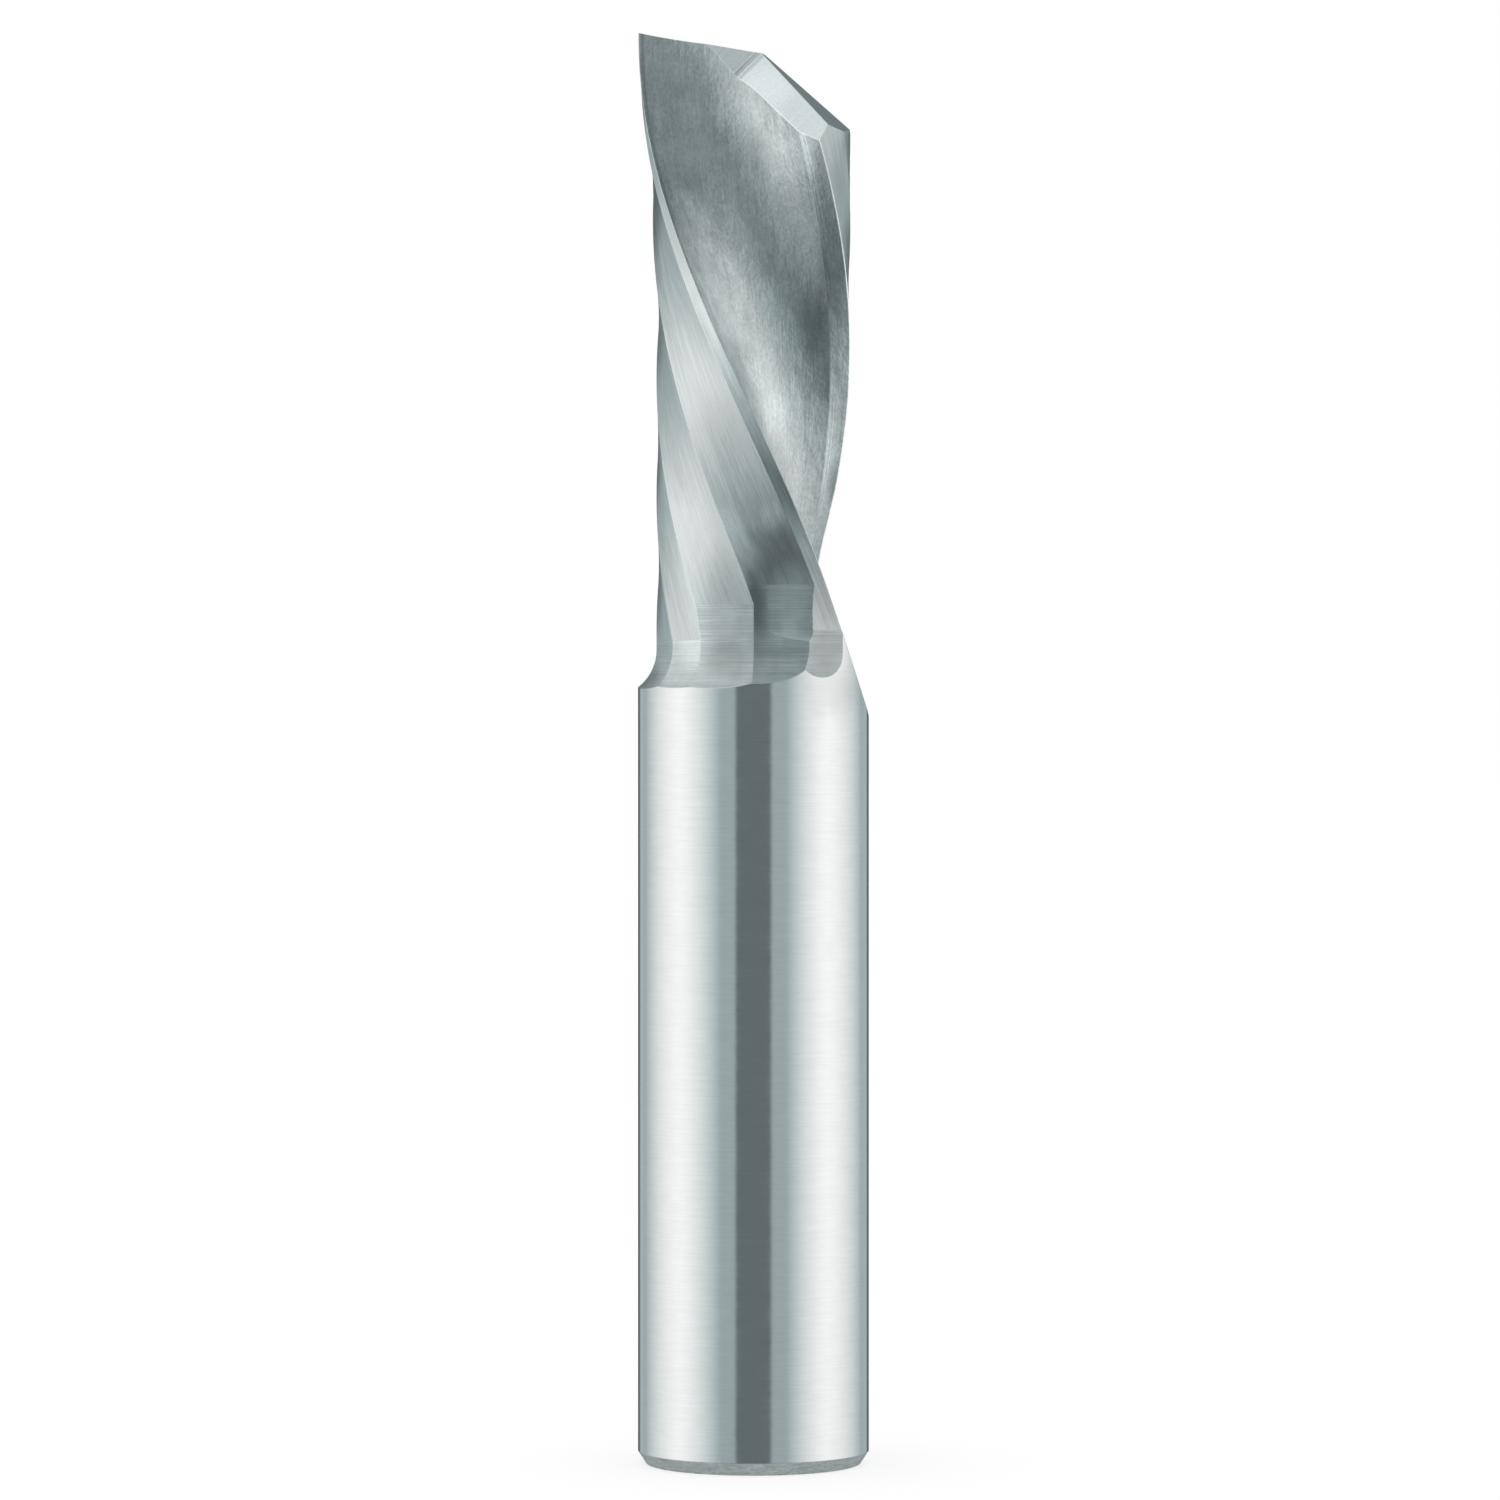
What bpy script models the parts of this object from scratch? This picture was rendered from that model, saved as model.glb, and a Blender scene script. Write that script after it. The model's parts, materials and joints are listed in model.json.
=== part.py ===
"""Single flute end mill, ground from one round rod of solid carbide.

The tool stands on the flat end of its shank with its axis on +Z and its tip up.
Its flute is a left-hand helix and its edge cuts to the right. At the tip the
cutting edge points to -X. All sizes are in metres and all angles in degrees.
"""

from math import acos, atan2, cos, radians, sin, sqrt, tan

import bmesh
import bpy
from mathutils import Matrix, Vector

# The rod
OVERALL_LENGTH = 0.07434
SHANK_DIAMETER = 0.0120
CHAMFER_LENGTH = 0.00067
CHAMFER_DEPTH = 0.00044
CHAMFER_EDGE_ROUND = 0.00008

# The tooth. Its cutting circle is ground a touch below the rod's own surface.
CUTTING_DIAMETER = 0.01196
GRINDING_STOCK = 0.00002
HELIX_ANGLE = 25.0
TIP_EDGE_ANGLE = 180.0

# The back of the tooth is ground in flats that meet in ridges. The land is the
# narrow first flat behind the cutting edge, and the second relief is two more.
# A ridge is given by its angle behind the edge and its distance from the axis.
LAND_WIDTH = 0.00070
LAND_RELIEF = 13.0
SECOND_RELIEF_ANGLE = 31.0
SECOND_RELIEF_RADIUS = 0.005235
THIRD_RELIEF_ANGLE = 42.5
THIRD_RELIEF_RADIUS = 0.00523
BACK_RIDGE_ANGLES = (79.5, 107.0, 138.0, 172.0, 205.0, 226.0)
BACK_RADIUS = 0.00504
BACK_CROWN = 0.00006

# Where the flats run out into the shank. The flats of the back leave the rod where
# the shank ends, and the land and the second relief end at heights above that.
# A flat follows the helix down to its straight stretch, and below that the wheel
# lifts out in a round, which gets no steeper than the steepest lift.
SHANK_LENGTH = 0.0403
LAND_END = 0.0017
LAND_STRAIGHT = 0.0012
LAND_WHEEL_RADIUS = 0.0046
SECOND_RELIEF_END = 0.0029
SECOND_RELIEF_STRAIGHT = 0.0023
SECOND_RELIEF_WHEEL_RADIUS = 0.0014
THIRD_RELIEF_STRAIGHT = 0.00323
FIRST_BACK_STRAIGHT = 0.00223
BACK_STRAIGHT = 0.00043
BACK_WHEEL_RADIUS = 0.0025
STEEPEST_LIFT = 75.0

# The flute's section. Its points are given from the axis towards the cutting
# edge, and across that line towards the open side.
FLUTE_WIDTH_ANGLE = 106.0
RAKE_HOOK = 0.00020
RAKE_FOOT = (0.00260, -0.00010)
FLOOR_BULGE = 0.00037
WALL_FOOT = (-0.00006, 0.00192)
WALL_BULGE = 0.00008
HEEL_CREASE = (-0.00078, 0.00390)

# Where the flute runs out into the shank
FLUTE_END_BELOW_SHANK = 0.0013
FLUTE_WHEEL_RADIUS = 0.0120
FLUTE_LIFT_ANGLE = 10.0

# The end face: the cutting edge across it, and the two reliefs behind that edge
DISH_ANGLE = 9.4
END_RELIEF = 8.0
END_LAND_WIDTH = 0.0013
END_SECOND_RELIEF = 24.0

# The bevel on the far side of the end, and the clearance behind the bevel. The
# bevel starts this far past the axis. Each face is given by where it looks.
BEVEL_START = 0.00045
BEVEL_FACING = (0.620, -0.275, 0.735)
BEVEL_CREST = (0.00112, 0.00013)
CLEARANCE_FACING = (0.671, 0.239, 0.702)

# The gash, a wide wedge that opens the middle of the end
GASH_START = -0.00028
GASH_FLOOR_FACING = (-0.069, -0.818, 0.571)
GASH_RAKE_FACING = (0.095, -0.885, 0.459)
GASH_CORNER_RADIUS = 0.0030
GASH_REACH = 0.0035

# How finely the surfaces are divided
ROD_SEGMENTS = 96
HELIX_STEP = 0.0006
ROUND_STEPS = 7
RAKE_STEPS = 5
FLOOR_STEPS = 10
WALL_STEPS = 3
CORNER_STEPS = 5

# Cutters stand this far clear of what they don't cut, and their facets bend
# only at this margin outside the ridges that they leave.
CUTTER_REACH = 0.0028
CUTTER_MARGIN = 0.00015
CUTTER_BLOCK = 0.0400

CARBIDE_COLOUR = (0.60, 0.625, 0.625, 1.0)
CARBIDE_ROUGHNESS = 0.28
SHARP_ANGLE = 15.0

SHANK_RADIUS = SHANK_DIAMETER / 2
CUTTING_RADIUS = CUTTING_DIAMETER / 2
STOCK_RADIUS = max(SHANK_RADIUS, CUTTING_RADIUS + GRINDING_STOCK)
TWIST_RATE = tan(radians(HELIX_ANGLE)) / CUTTING_RADIUS


def edge_angle(height):
    """Direction of the cutting edge at a height, in radians."""
    return radians(TIP_EDGE_ANGLE) + TWIST_RATE * (OVERALL_LENGTH - height)


def turned(point, angle, height):
    """A point of a section, turned about the axis and set at a height."""
    x = point[0] * cos(angle) - point[1] * sin(angle)
    y = point[0] * sin(angle) + point[1] * cos(angle)
    return Vector((x, y, height))


def wheel_lift(drop, wheel_radius):
    """How far a wheel has risen off its cut after running out over a drop."""
    drop = min(max(drop, 0.0), wheel_radius)
    return wheel_radius - sqrt(wheel_radius ** 2 - drop ** 2)


def wheel_drop(lift, wheel_radius):
    """How far a wheel runs out until it has risen by a lift."""
    lift = min(max(lift, 0.0), wheel_radius)
    return sqrt(wheel_radius ** 2 - (wheel_radius - lift) ** 2)


def lift_out(wheel_radius, clear_lift):
    """Steps of drop and lift by which a wheel leaves its cut: an arc, then straight until clear."""
    turn = min(acos(max(1 - clear_lift / wheel_radius, 0.0)), radians(STEEPEST_LIFT))
    turns = [turn * step / ROUND_STEPS for step in range(ROUND_STEPS + 1)]
    steps = [(wheel_radius * sin(angle), wheel_radius * (1 - cos(angle))) for angle in turns]
    drop, lift = steps[-1]
    rest = clear_lift - lift + CUTTER_MARGIN
    return [*steps, (drop + rest / tan(turn), lift + rest)]


def left_arc(start, end, bulge, steps):
    """Points of the arc from start to end that bulges to its left, without its end."""
    start, end = Vector(start), Vector(end)
    half = (end - start).length / 2
    radius = (half ** 2 + bulge ** 2) / (2 * bulge)
    left = Vector((start.y - end.y, end.x - start.x)).normalized()
    centre = (start + end) / 2 - left * (radius - bulge)
    sweep = -2 * atan2(half, radius - bulge)
    return [centre + Matrix.Rotation(sweep * step / steps, 2) @ (start - centre) for step in range(steps)]


def levels_above(low):
    """Heights one helix step apart, from past the tip down to just above a height."""
    top = OVERALL_LENGTH + CUTTER_REACH
    count = int((top - low) / HELIX_STEP - 0.25)
    return [top - HELIX_STEP * index for index in range(count, -1, -1)]


def loft(name, rings, collection):
    """A closed solid through rings of equally many points, each anticlockwise from above.

    It is all triangles, so that each of its facets is truly flat.
    """
    form = bmesh.new()
    loops = [[form.verts.new(point) for point in ring] for ring in rings]
    for lower, upper in zip(loops, loops[1:]):
        for index in range(len(lower)):
            form.faces.new((lower[index - 1], lower[index], upper[index], upper[index - 1]))
    form.faces.new(reversed(loops[0]))
    form.faces.new(loops[-1])
    bmesh.ops.triangulate(form, faces=form.faces[:], quad_method="FIXED")
    mesh = bpy.data.meshes.new(name)
    form.to_mesh(mesh)
    form.free()
    solid = bpy.data.objects.new(name, mesh)
    collection.objects.link(solid)
    return solid


def make_rod(collection):
    """The round rod, turned from its outline, with the chamfer at the shank end."""
    slope = atan2(CHAMFER_DEPTH, CHAMFER_LENGTH)
    corner = SHANK_RADIUS - CHAMFER_DEPTH
    outline = [
        (0.0, OVERALL_LENGTH + CUTTER_MARGIN),
        (STOCK_RADIUS, OVERALL_LENGTH + CUTTER_MARGIN),
        (STOCK_RADIUS, SHANK_LENGTH + CUTTER_REACH),
        (SHANK_RADIUS, SHANK_LENGTH),
        (SHANK_RADIUS, CHAMFER_LENGTH),
        (corner + CHAMFER_EDGE_ROUND * sin(slope), CHAMFER_EDGE_ROUND * cos(slope)),
        (corner - CHAMFER_EDGE_ROUND, 0.0),
        (0.0, 0.0),
    ]
    mesh = bpy.data.meshes.new("end_mill")
    points = [(radius, 0.0, height) for radius, height in outline]
    mesh.from_pydata(points, [(index, index + 1) for index in range(len(points) - 1)], [])
    rod = bpy.data.objects.new("end_mill", mesh)
    collection.objects.link(rod)
    screw = rod.modifiers.new("turned", "SCREW")
    screw.axis = "Z"
    screw.steps = ROD_SEGMENTS
    screw.render_steps = ROD_SEGMENTS
    screw.use_merge_vertices = True
    screw.merge_threshold = 0.000001
    return rod


def ridge(angle, radius):
    """A ridge of the section, from its angle behind the edge and its radius."""
    return Vector((radius * cos(radians(angle)), -radius * sin(radians(angle))))


def flat_facing(start, end):
    """The direction that the flat between two ridges faces, in clockwise order."""
    along = (end - start).normalized()
    return Vector((-along.y, along.x))


def flat_cutter(name, start, end, crown, run_out, clear_lift, collection):
    """The space outside one flat, between two ridges in clockwise order.

    The flat's middle stands proud of its ridges by the crown. Its run-out is the
    flat's end, its straight stretch and its wheel's radius, and a lift clears the rod.
    """
    flat_end, straight, wheel_radius = run_out
    twist_end = flat_end + straight
    outward = flat_facing(start, end)
    along = (end - start).normalized()
    middle = (start + end) / 2
    half = (end - start).length / 2
    wide = half + CUTTER_MARGIN
    reach = STOCK_RADIUS
    fall = crown / half
    outline = [(-reach, -fall * (reach - half)), (-wide, -fall * (wide - half)), (0.0, crown)]
    outline += [(wide, -fall * (wide - half)), (reach, -fall * (reach - half))]
    outline += [(reach, reach), (-reach, reach)]
    section = [middle + along * run + outward * rise for run, rise in outline]
    levels = [(flat_end - drop, lift) for drop, lift in reversed(lift_out(wheel_radius, clear_lift))]
    levels += [(height, 0.0) for height in (twist_end, *levels_above(twist_end))]
    rings = []
    for height, lift in levels:
        turn = edge_angle(max(height, twist_end))
        rings.append([turned(point + outward * lift, turn, height) for point in section])
    return loft(name, rings, collection)


def relief_flats():
    """The flats from the land round to the heel: name, two ridges, crown and run-out."""
    relief = radians(LAND_RELIEF)
    edge = Vector((CUTTING_RADIUS, 0.0))
    land_back = edge - LAND_WIDTH * Vector((sin(relief), cos(relief)))
    second = ridge(SECOND_RELIEF_ANGLE, SECOND_RELIEF_RADIUS)
    third = ridge(THIRD_RELIEF_ANGLE, THIRD_RELIEF_RADIUS)
    back_end = SHANK_LENGTH + wheel_drop(SHANK_RADIUS - BACK_RADIUS, BACK_WHEEL_RADIUS)
    land_run_out = (SHANK_LENGTH + LAND_END, LAND_STRAIGHT, LAND_WHEEL_RADIUS)
    second_run_out = (SHANK_LENGTH + SECOND_RELIEF_END, SECOND_RELIEF_STRAIGHT, SECOND_RELIEF_WHEEL_RADIUS)
    third_run_out = (back_end, THIRD_RELIEF_STRAIGHT, BACK_WHEEL_RADIUS)
    flats = [
        ("land", edge, land_back, 0.0, land_run_out),
        ("second_relief", land_back, second, 0.0, second_run_out),
        ("third_relief", second, third, 0.0, third_run_out),
    ]
    start = third
    straight = FIRST_BACK_STRAIGHT
    for index, angle in enumerate((*BACK_RIDGE_ANGLES, 360.0 - FLUTE_WIDTH_ANGLE)):
        end = ridge(angle, BACK_RADIUS)
        run_out = (back_end, straight, BACK_WHEEL_RADIUS)
        flats.append(("back_flat_" + str(index + 1), start, end, BACK_CROWN, run_out))
        start = end
        straight = BACK_STRAIGHT
    return flats


def make_relief_cutters(collection):
    """One cutter for each flat. All lift out as far as the deepest flat needs."""
    flats = relief_flats()
    deepest = min(start.dot(flat_facing(start, end)) for _, start, end, _, _ in flats)
    clear_lift = STOCK_RADIUS - deepest
    return [flat_cutter(*flat, clear_lift, collection) for flat in flats]


def flute_section():
    """The flute's section, anticlockwise, out past the rod on its open side."""
    edge = Vector((CUTTING_RADIUS, 0.0))
    heel = ridge(-FLUTE_WIDTH_ANGLE, BACK_RADIUS)
    rake = left_arc(edge, RAKE_FOOT, RAKE_HOOK, RAKE_STEPS)
    floor = left_arc(RAKE_FOOT, WALL_FOOT, FLOOR_BULGE, FLOOR_STEPS)
    wall = left_arc(WALL_FOOT, HEEL_CREASE, WALL_BULGE, WALL_STEPS)
    past_edge = (edge - rake[1]).normalized()
    past_heel = (heel - Vector(HEEL_CREASE)).normalized()
    reach = STOCK_RADIUS + CUTTER_REACH
    section = [
        heel + past_heel * CUTTER_MARGIN,
        heel + past_heel * (reach - heel.y) / past_heel.y,
        Vector((reach, reach)),
        edge + past_edge * (reach - edge.x) / past_edge.x,
        edge + past_edge * CUTTER_MARGIN,
        *rake[1:],
        *floor,
        *wall,
        Vector(HEEL_CREASE),
    ]
    return section[::-1]


def make_flute_cutter(collection):
    """The space that the flute wheel sweeps, rising out of the rod at the shank."""
    section = flute_section()
    floor_radius = min(point.length for point in section)
    run_out_end = SHANK_LENGTH - FLUTE_END_BELOW_SHANK
    run_out_start = run_out_end + wheel_drop(STOCK_RADIUS - floor_radius, FLUTE_WHEEL_RADIUS)
    lift_turn = radians(FLUTE_LIFT_ANGLE)
    rings = []
    for height in levels_above(run_out_end - 2 * HELIX_STEP):
        lift = wheel_lift(run_out_start - height, FLUTE_WHEEL_RADIUS)
        shift = Vector((lift * cos(lift_turn), lift * sin(lift_turn)))
        rings.append([turned(point + shift, edge_angle(height), height) for point in section])
    return loft("flute_cutter", rings, collection)


def end_edge_point(x):
    """The point of the end cutting edge's line at a place across the tool."""
    return Vector((x, 0.0, OVERALL_LENGTH - (CUTTING_RADIUS + x) * tan(radians(DISH_ANGLE))))


def point_on_plane(x, y, through, facing):
    """The point at x and y of the plane through a point, facing a direction."""
    height = through.z - ((x - through.x) * facing.x + (y - through.y) * facing.y) / facing.z
    return Vector((x, y, height))


def plane_cutter(name, through, facing, collection):
    """A block that cuts away all that lies in front of a plane."""
    bpy.ops.mesh.primitive_cube_add(size=CUTTER_BLOCK)
    block = bpy.context.object
    block.name = name
    block.rotation_mode = "QUATERNION"
    block.rotation_quaternion = facing.to_track_quat("Z", "Y")
    block.location = through + facing.normalized() * CUTTER_BLOCK / 2
    for owner in list(block.users_collection):
        owner.objects.unlink(block)
    collection.objects.link(block)
    return block


def make_end_cutters(collection):
    """The two reliefs behind the end cutting edge, the bevel and the clearance behind it."""
    dish = radians(DISH_ANGLE)
    inward = Vector((cos(dish), 0.0, -sin(dish)))
    cutters = []
    corner = end_edge_point(-CUTTING_RADIUS)
    for name, offset, fall in (("end_relief", 0.0, END_RELIEF), ("end_back", END_LAND_WIDTH, END_SECOND_RELIEF)):
        first_fall = radians(END_RELIEF)
        start = corner + Vector((0.0, offset * cos(first_fall), -offset * sin(first_fall)))
        behind = Vector((0.0, cos(radians(fall)), -sin(radians(fall))))
        cutters.append(plane_cutter(name, start, inward.cross(behind), collection))
    bevel = Vector(BEVEL_FACING)
    start = end_edge_point(BEVEL_START)
    cutters.append(plane_cutter("bevel", start, bevel, collection))
    crest = point_on_plane(*BEVEL_CREST, start, bevel)
    cutters.append(plane_cutter("clearance", crest, Vector(CLEARANCE_FACING), collection))
    return cutters


def make_gash_cutter(collection):
    """The gash, a wide wedge with a rounded corner between its floor and its rake."""
    floor = Vector(GASH_FLOOR_FACING).normalized()
    rake = Vector(GASH_RAKE_FACING).normalized()
    along = floor.cross(rake).normalized()
    floor_start = end_edge_point(BEVEL_START)
    rake_start = end_edge_point(GASH_START)
    offsets = Vector((floor.dot(floor_start), rake.dot(rake_start), along.dot(floor_start)))
    corner = Matrix((floor, rake, along)).inverted() @ offsets
    floor_run = along.cross(floor)
    rake_run = rake.cross(along)
    outward = (floor + rake).normalized()
    bend = floor.angle(rake)
    centre = corner + outward * GASH_CORNER_RADIUS / cos(bend / 2)
    outline = [
        corner + floor_run * GASH_REACH * 3,
        corner + floor_run * GASH_REACH * 3 + outward * GASH_REACH * 2,
        corner + rake_run * GASH_REACH + outward * GASH_REACH * 2,
        corner + rake_run * GASH_REACH,
    ]
    for step in range(CORNER_STEPS + 1):
        blend = Matrix.Rotation(bend * step / CORNER_STEPS, 3, rake.cross(floor))
        outline.append(centre - GASH_CORNER_RADIUS * (blend @ rake))
    rings = [[point + along * offset for point in outline] for offset in (2 * GASH_REACH, -2 * GASH_REACH)]
    return loft("gash", rings, collection)


def make_carbide():
    material = bpy.data.materials.new("carbide")
    material.use_nodes = True
    shader = material.node_tree.nodes["Principled BSDF"]
    shader.inputs["Base Color"].default_value = CARBIDE_COLOUR
    shader.inputs["Roughness"].default_value = CARBIDE_ROUGHNESS
    shader.inputs["Metallic"].default_value = 1.0
    return material


def grind(blank, cutter):
    """Take a cutter's space out of the blank."""
    cut = blank.modifiers.new(cutter.name, "BOOLEAN")
    cut.operation = "DIFFERENCE"
    cut.solver = "EXACT"
    cut.object = cutter
    cutter.hide_render = True
    cutter.display_type = "WIRE"


def finish_mesh(obj):
    """Settle the cuts into the mesh, so that only real ridges are shaded sharp."""
    bpy.context.view_layer.update()
    evaluated = obj.evaluated_get(bpy.context.evaluated_depsgraph_get())
    obj.data = bpy.data.meshes.new_from_object(evaluated)
    obj.modifiers.clear()
    obj.data.shade_smooth()
    obj.data.set_sharp_from_angle(angle=radians(SHARP_ANGLE))


def main():
    for obj in list(bpy.data.objects):
        bpy.data.objects.remove(obj)
    tool_collection = bpy.data.collections.new("single_flute_end_mill")
    cutter_collection = bpy.data.collections.new("cutters")
    bpy.context.scene.collection.children.link(tool_collection)
    bpy.context.scene.collection.children.link(cutter_collection)
    end_mill = make_rod(tool_collection)
    end_mill.data.materials.append(make_carbide())
    for cutter in make_relief_cutters(cutter_collection):
        grind(end_mill, cutter)
    grind(end_mill, make_flute_cutter(cutter_collection))
    for cutter in make_end_cutters(cutter_collection):
        grind(end_mill, cutter)
    grind(end_mill, make_gash_cutter(cutter_collection))
    finish_mesh(end_mill)


main()
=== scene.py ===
"""Looks of the single flute end mill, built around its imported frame.

The ground tool is made again at a finer step than the CAD solid, by the same cuts,
so that every ground surface gets its true curve and its own finish. Sizes are in
metres, apart from those of the patches, and angles in degrees.
"""

import json
from math import acos, atan2, cos, pi, radians, sin, sqrt, tan

import bmesh
import bpy
import numpy as np
from mathutils import Matrix, Vector

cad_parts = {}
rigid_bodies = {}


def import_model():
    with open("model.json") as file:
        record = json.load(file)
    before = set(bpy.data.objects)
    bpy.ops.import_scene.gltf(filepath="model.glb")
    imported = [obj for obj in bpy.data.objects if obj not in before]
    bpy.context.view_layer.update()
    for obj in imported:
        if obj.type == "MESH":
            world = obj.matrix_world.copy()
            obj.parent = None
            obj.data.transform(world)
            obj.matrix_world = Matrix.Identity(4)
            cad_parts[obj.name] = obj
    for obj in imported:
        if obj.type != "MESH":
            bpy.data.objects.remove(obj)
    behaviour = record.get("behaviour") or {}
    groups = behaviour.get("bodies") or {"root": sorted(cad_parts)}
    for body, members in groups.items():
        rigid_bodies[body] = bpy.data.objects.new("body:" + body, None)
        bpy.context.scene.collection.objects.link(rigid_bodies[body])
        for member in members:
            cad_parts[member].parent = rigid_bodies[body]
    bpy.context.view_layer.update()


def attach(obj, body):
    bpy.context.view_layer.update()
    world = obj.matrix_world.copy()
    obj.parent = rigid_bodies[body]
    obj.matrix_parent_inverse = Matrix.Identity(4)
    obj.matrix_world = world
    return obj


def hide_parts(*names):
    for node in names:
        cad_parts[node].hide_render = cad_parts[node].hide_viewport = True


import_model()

# The rod
OVERALL_LENGTH = 0.07434
SHANK_DIAMETER = 0.0120
CHAMFER_LENGTH = 0.00067
CHAMFER_DEPTH = 0.00044
CHAMFER_EDGE_ROUND = 0.00008

# The tooth
CUTTING_DIAMETER = 0.01196
GRINDING_STOCK = 0.00002
HELIX_ANGLE = 25.0
TIP_EDGE_ANGLE = 180.0

# The flats round the back of the tooth, by the ridges between them
LAND_WIDTH = 0.00070
LAND_RELIEF = 13.0
SECOND_RELIEF_ANGLE = 31.0
SECOND_RELIEF_RADIUS = 0.005235
THIRD_RELIEF_ANGLE = 42.5
THIRD_RELIEF_RADIUS = 0.00523
BACK_RIDGE_ANGLES = (79.5, 107.0, 138.0, 172.0, 205.0, 226.0)
BACK_RADIUS = 0.00504
BACK_CROWN = 0.00006

# Where the flats run out into the shank
SHANK_LENGTH = 0.0403
LAND_END = 0.0017
LAND_STRAIGHT = 0.0012
LAND_WHEEL_RADIUS = 0.0046
SECOND_RELIEF_END = 0.0029
SECOND_RELIEF_STRAIGHT = 0.0023
SECOND_RELIEF_WHEEL_RADIUS = 0.0014
THIRD_RELIEF_STRAIGHT = 0.00323
FIRST_BACK_STRAIGHT = 0.00223
BACK_STRAIGHT = 0.00043
BACK_WHEEL_RADIUS = 0.0025
STEEPEST_LIFT = 75.0

# The flute's section, from the axis towards the cutting edge and across that line
FLUTE_WIDTH_ANGLE = 106.0
RAKE_HOOK = 0.00020
RAKE_FOOT = (0.00260, -0.00010)
FLOOR_BULGE = 0.00037
WALL_FOOT = (-0.00006, 0.00192)
WALL_BULGE = 0.00008
HEEL_CREASE = (-0.00078, 0.00390)

# Where the flute runs out into the shank
FLUTE_END_BELOW_SHANK = 0.0013
FLUTE_WHEEL_RADIUS = 0.0120
FLUTE_LIFT_ANGLE = 10.0

# The end face
DISH_ANGLE = 9.4
END_RELIEF = 8.0
END_LAND_WIDTH = 0.0013
END_SECOND_RELIEF = 24.0
BEVEL_START = 0.00045
BEVEL_FACING = (0.620, -0.275, 0.735)
BEVEL_CREST = (0.00112, 0.00013)
CLEARANCE_FACING = (0.671, 0.239, 0.702)
GASH_START = -0.00028
GASH_FLOOR_FACING = (-0.069, -0.818, 0.571)
GASH_RAKE_FACING = (0.095, -0.885, 0.459)
GASH_CORNER_RADIUS = 0.0030
GASH_REACH = 0.0035

# How finely the surfaces are divided
ROD_SEGMENTS = 256
HELIX_STEP = 0.0003
ROUND_STEPS = 20
RAKE_STEPS = 12
FLOOR_STEPS = 24
WALL_STEPS = 8
CORNER_STEPS = 12
CROWN_STEPS = 2
EDGE_ROUND_STEPS = 4

# How far cutters reach past the rod and past their own cuts, and the size of a block
CUTTER_REACH = 0.0028
CUTTER_MARGIN = 0.00015
CUTTER_BLOCK = 0.0400

# The flute's cutter starts this many helix steps below its run-out, and the lowest
# step of any cutter is at least this share of a helix step
FLUTE_CLEAR_STEPS = 4
LEAST_STEP = 0.25

# The photograph's view
CAMERA_PLACE = (-0.000177, -0.302, 0.03705)
CAMERA_SENSOR = 36.0
CAMERA_CLIP_START = 0.01
VIEW_WIDTH = 0.0780

# What follows from these sizes, and two limits for the arithmetic: the step over which
# slopes are measured, and how much of its radius a wheel's drop may take
SHANK_RADIUS = SHANK_DIAMETER / 2
CUTTING_RADIUS = CUTTING_DIAMETER / 2
STOCK_RADIUS = max(SHANK_RADIUS, CUTTING_RADIUS + GRINDING_STOCK)
TWIST_RATE = tan(radians(HELIX_ANGLE)) / CUTTING_RADIUS
TINY = 1e-7
NEARLY_ALL = 1 - 1e-9


def edge_angle(height):
    """Direction of the cutting edge at a height, in radians."""
    return radians(TIP_EDGE_ANGLE) + TWIST_RATE * (OVERALL_LENGTH - height)


def turned(point, angle, height):
    """A point of a section, turned about the axis and set at a height."""
    x = point[0] * cos(angle) - point[1] * sin(angle)
    y = point[0] * sin(angle) + point[1] * cos(angle)
    return Vector((x, y, height))


def in_section(points, height):
    """Points of the tool, turned back to where the section at a height is drawn."""
    angle = -edge_angle(height)
    x = points[:, 0] * np.cos(angle) - points[:, 1] * np.sin(angle)
    y = points[:, 0] * np.sin(angle) + points[:, 1] * np.cos(angle)
    return np.stack((x, y), axis=1)


def wheel_lift(drop, wheel_radius):
    """How far a wheel has risen off its cut after running out over a drop."""
    drop = np.clip(drop, 0.0, wheel_radius * NEARLY_ALL)
    return wheel_radius - np.sqrt(wheel_radius ** 2 - drop ** 2)


def wheel_drop(lift, wheel_radius):
    """How far a wheel runs out until it has risen by a lift."""
    lift = min(max(lift, 0.0), wheel_radius)
    return sqrt(wheel_radius ** 2 - (wheel_radius - lift) ** 2)


def lift_turn(wheel_radius, clear_lift):
    """How far round its arc a wheel goes before it leaves the cut in a straight line."""
    return min(acos(max(1 - clear_lift / wheel_radius, 0.0)), radians(STEEPEST_LIFT))


def lift_out(wheel_radius, clear_lift):
    """Steps of drop and lift by which a wheel leaves its cut: an arc, then straight until clear."""
    turn = lift_turn(wheel_radius, clear_lift)
    turns = [turn * step / ROUND_STEPS for step in range(ROUND_STEPS + 1)]
    steps = [(wheel_radius * sin(angle), wheel_radius * (1 - cos(angle))) for angle in turns]
    drop, lift = steps[-1]
    rest = clear_lift - lift + CUTTER_MARGIN
    return [*steps, (drop + rest / tan(turn), lift + rest)]


def ridge(angle, radius):
    """A ridge of the section, from its angle behind the edge and its radius."""
    return Vector((radius * cos(radians(angle)), -radius * sin(radians(angle))))


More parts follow.
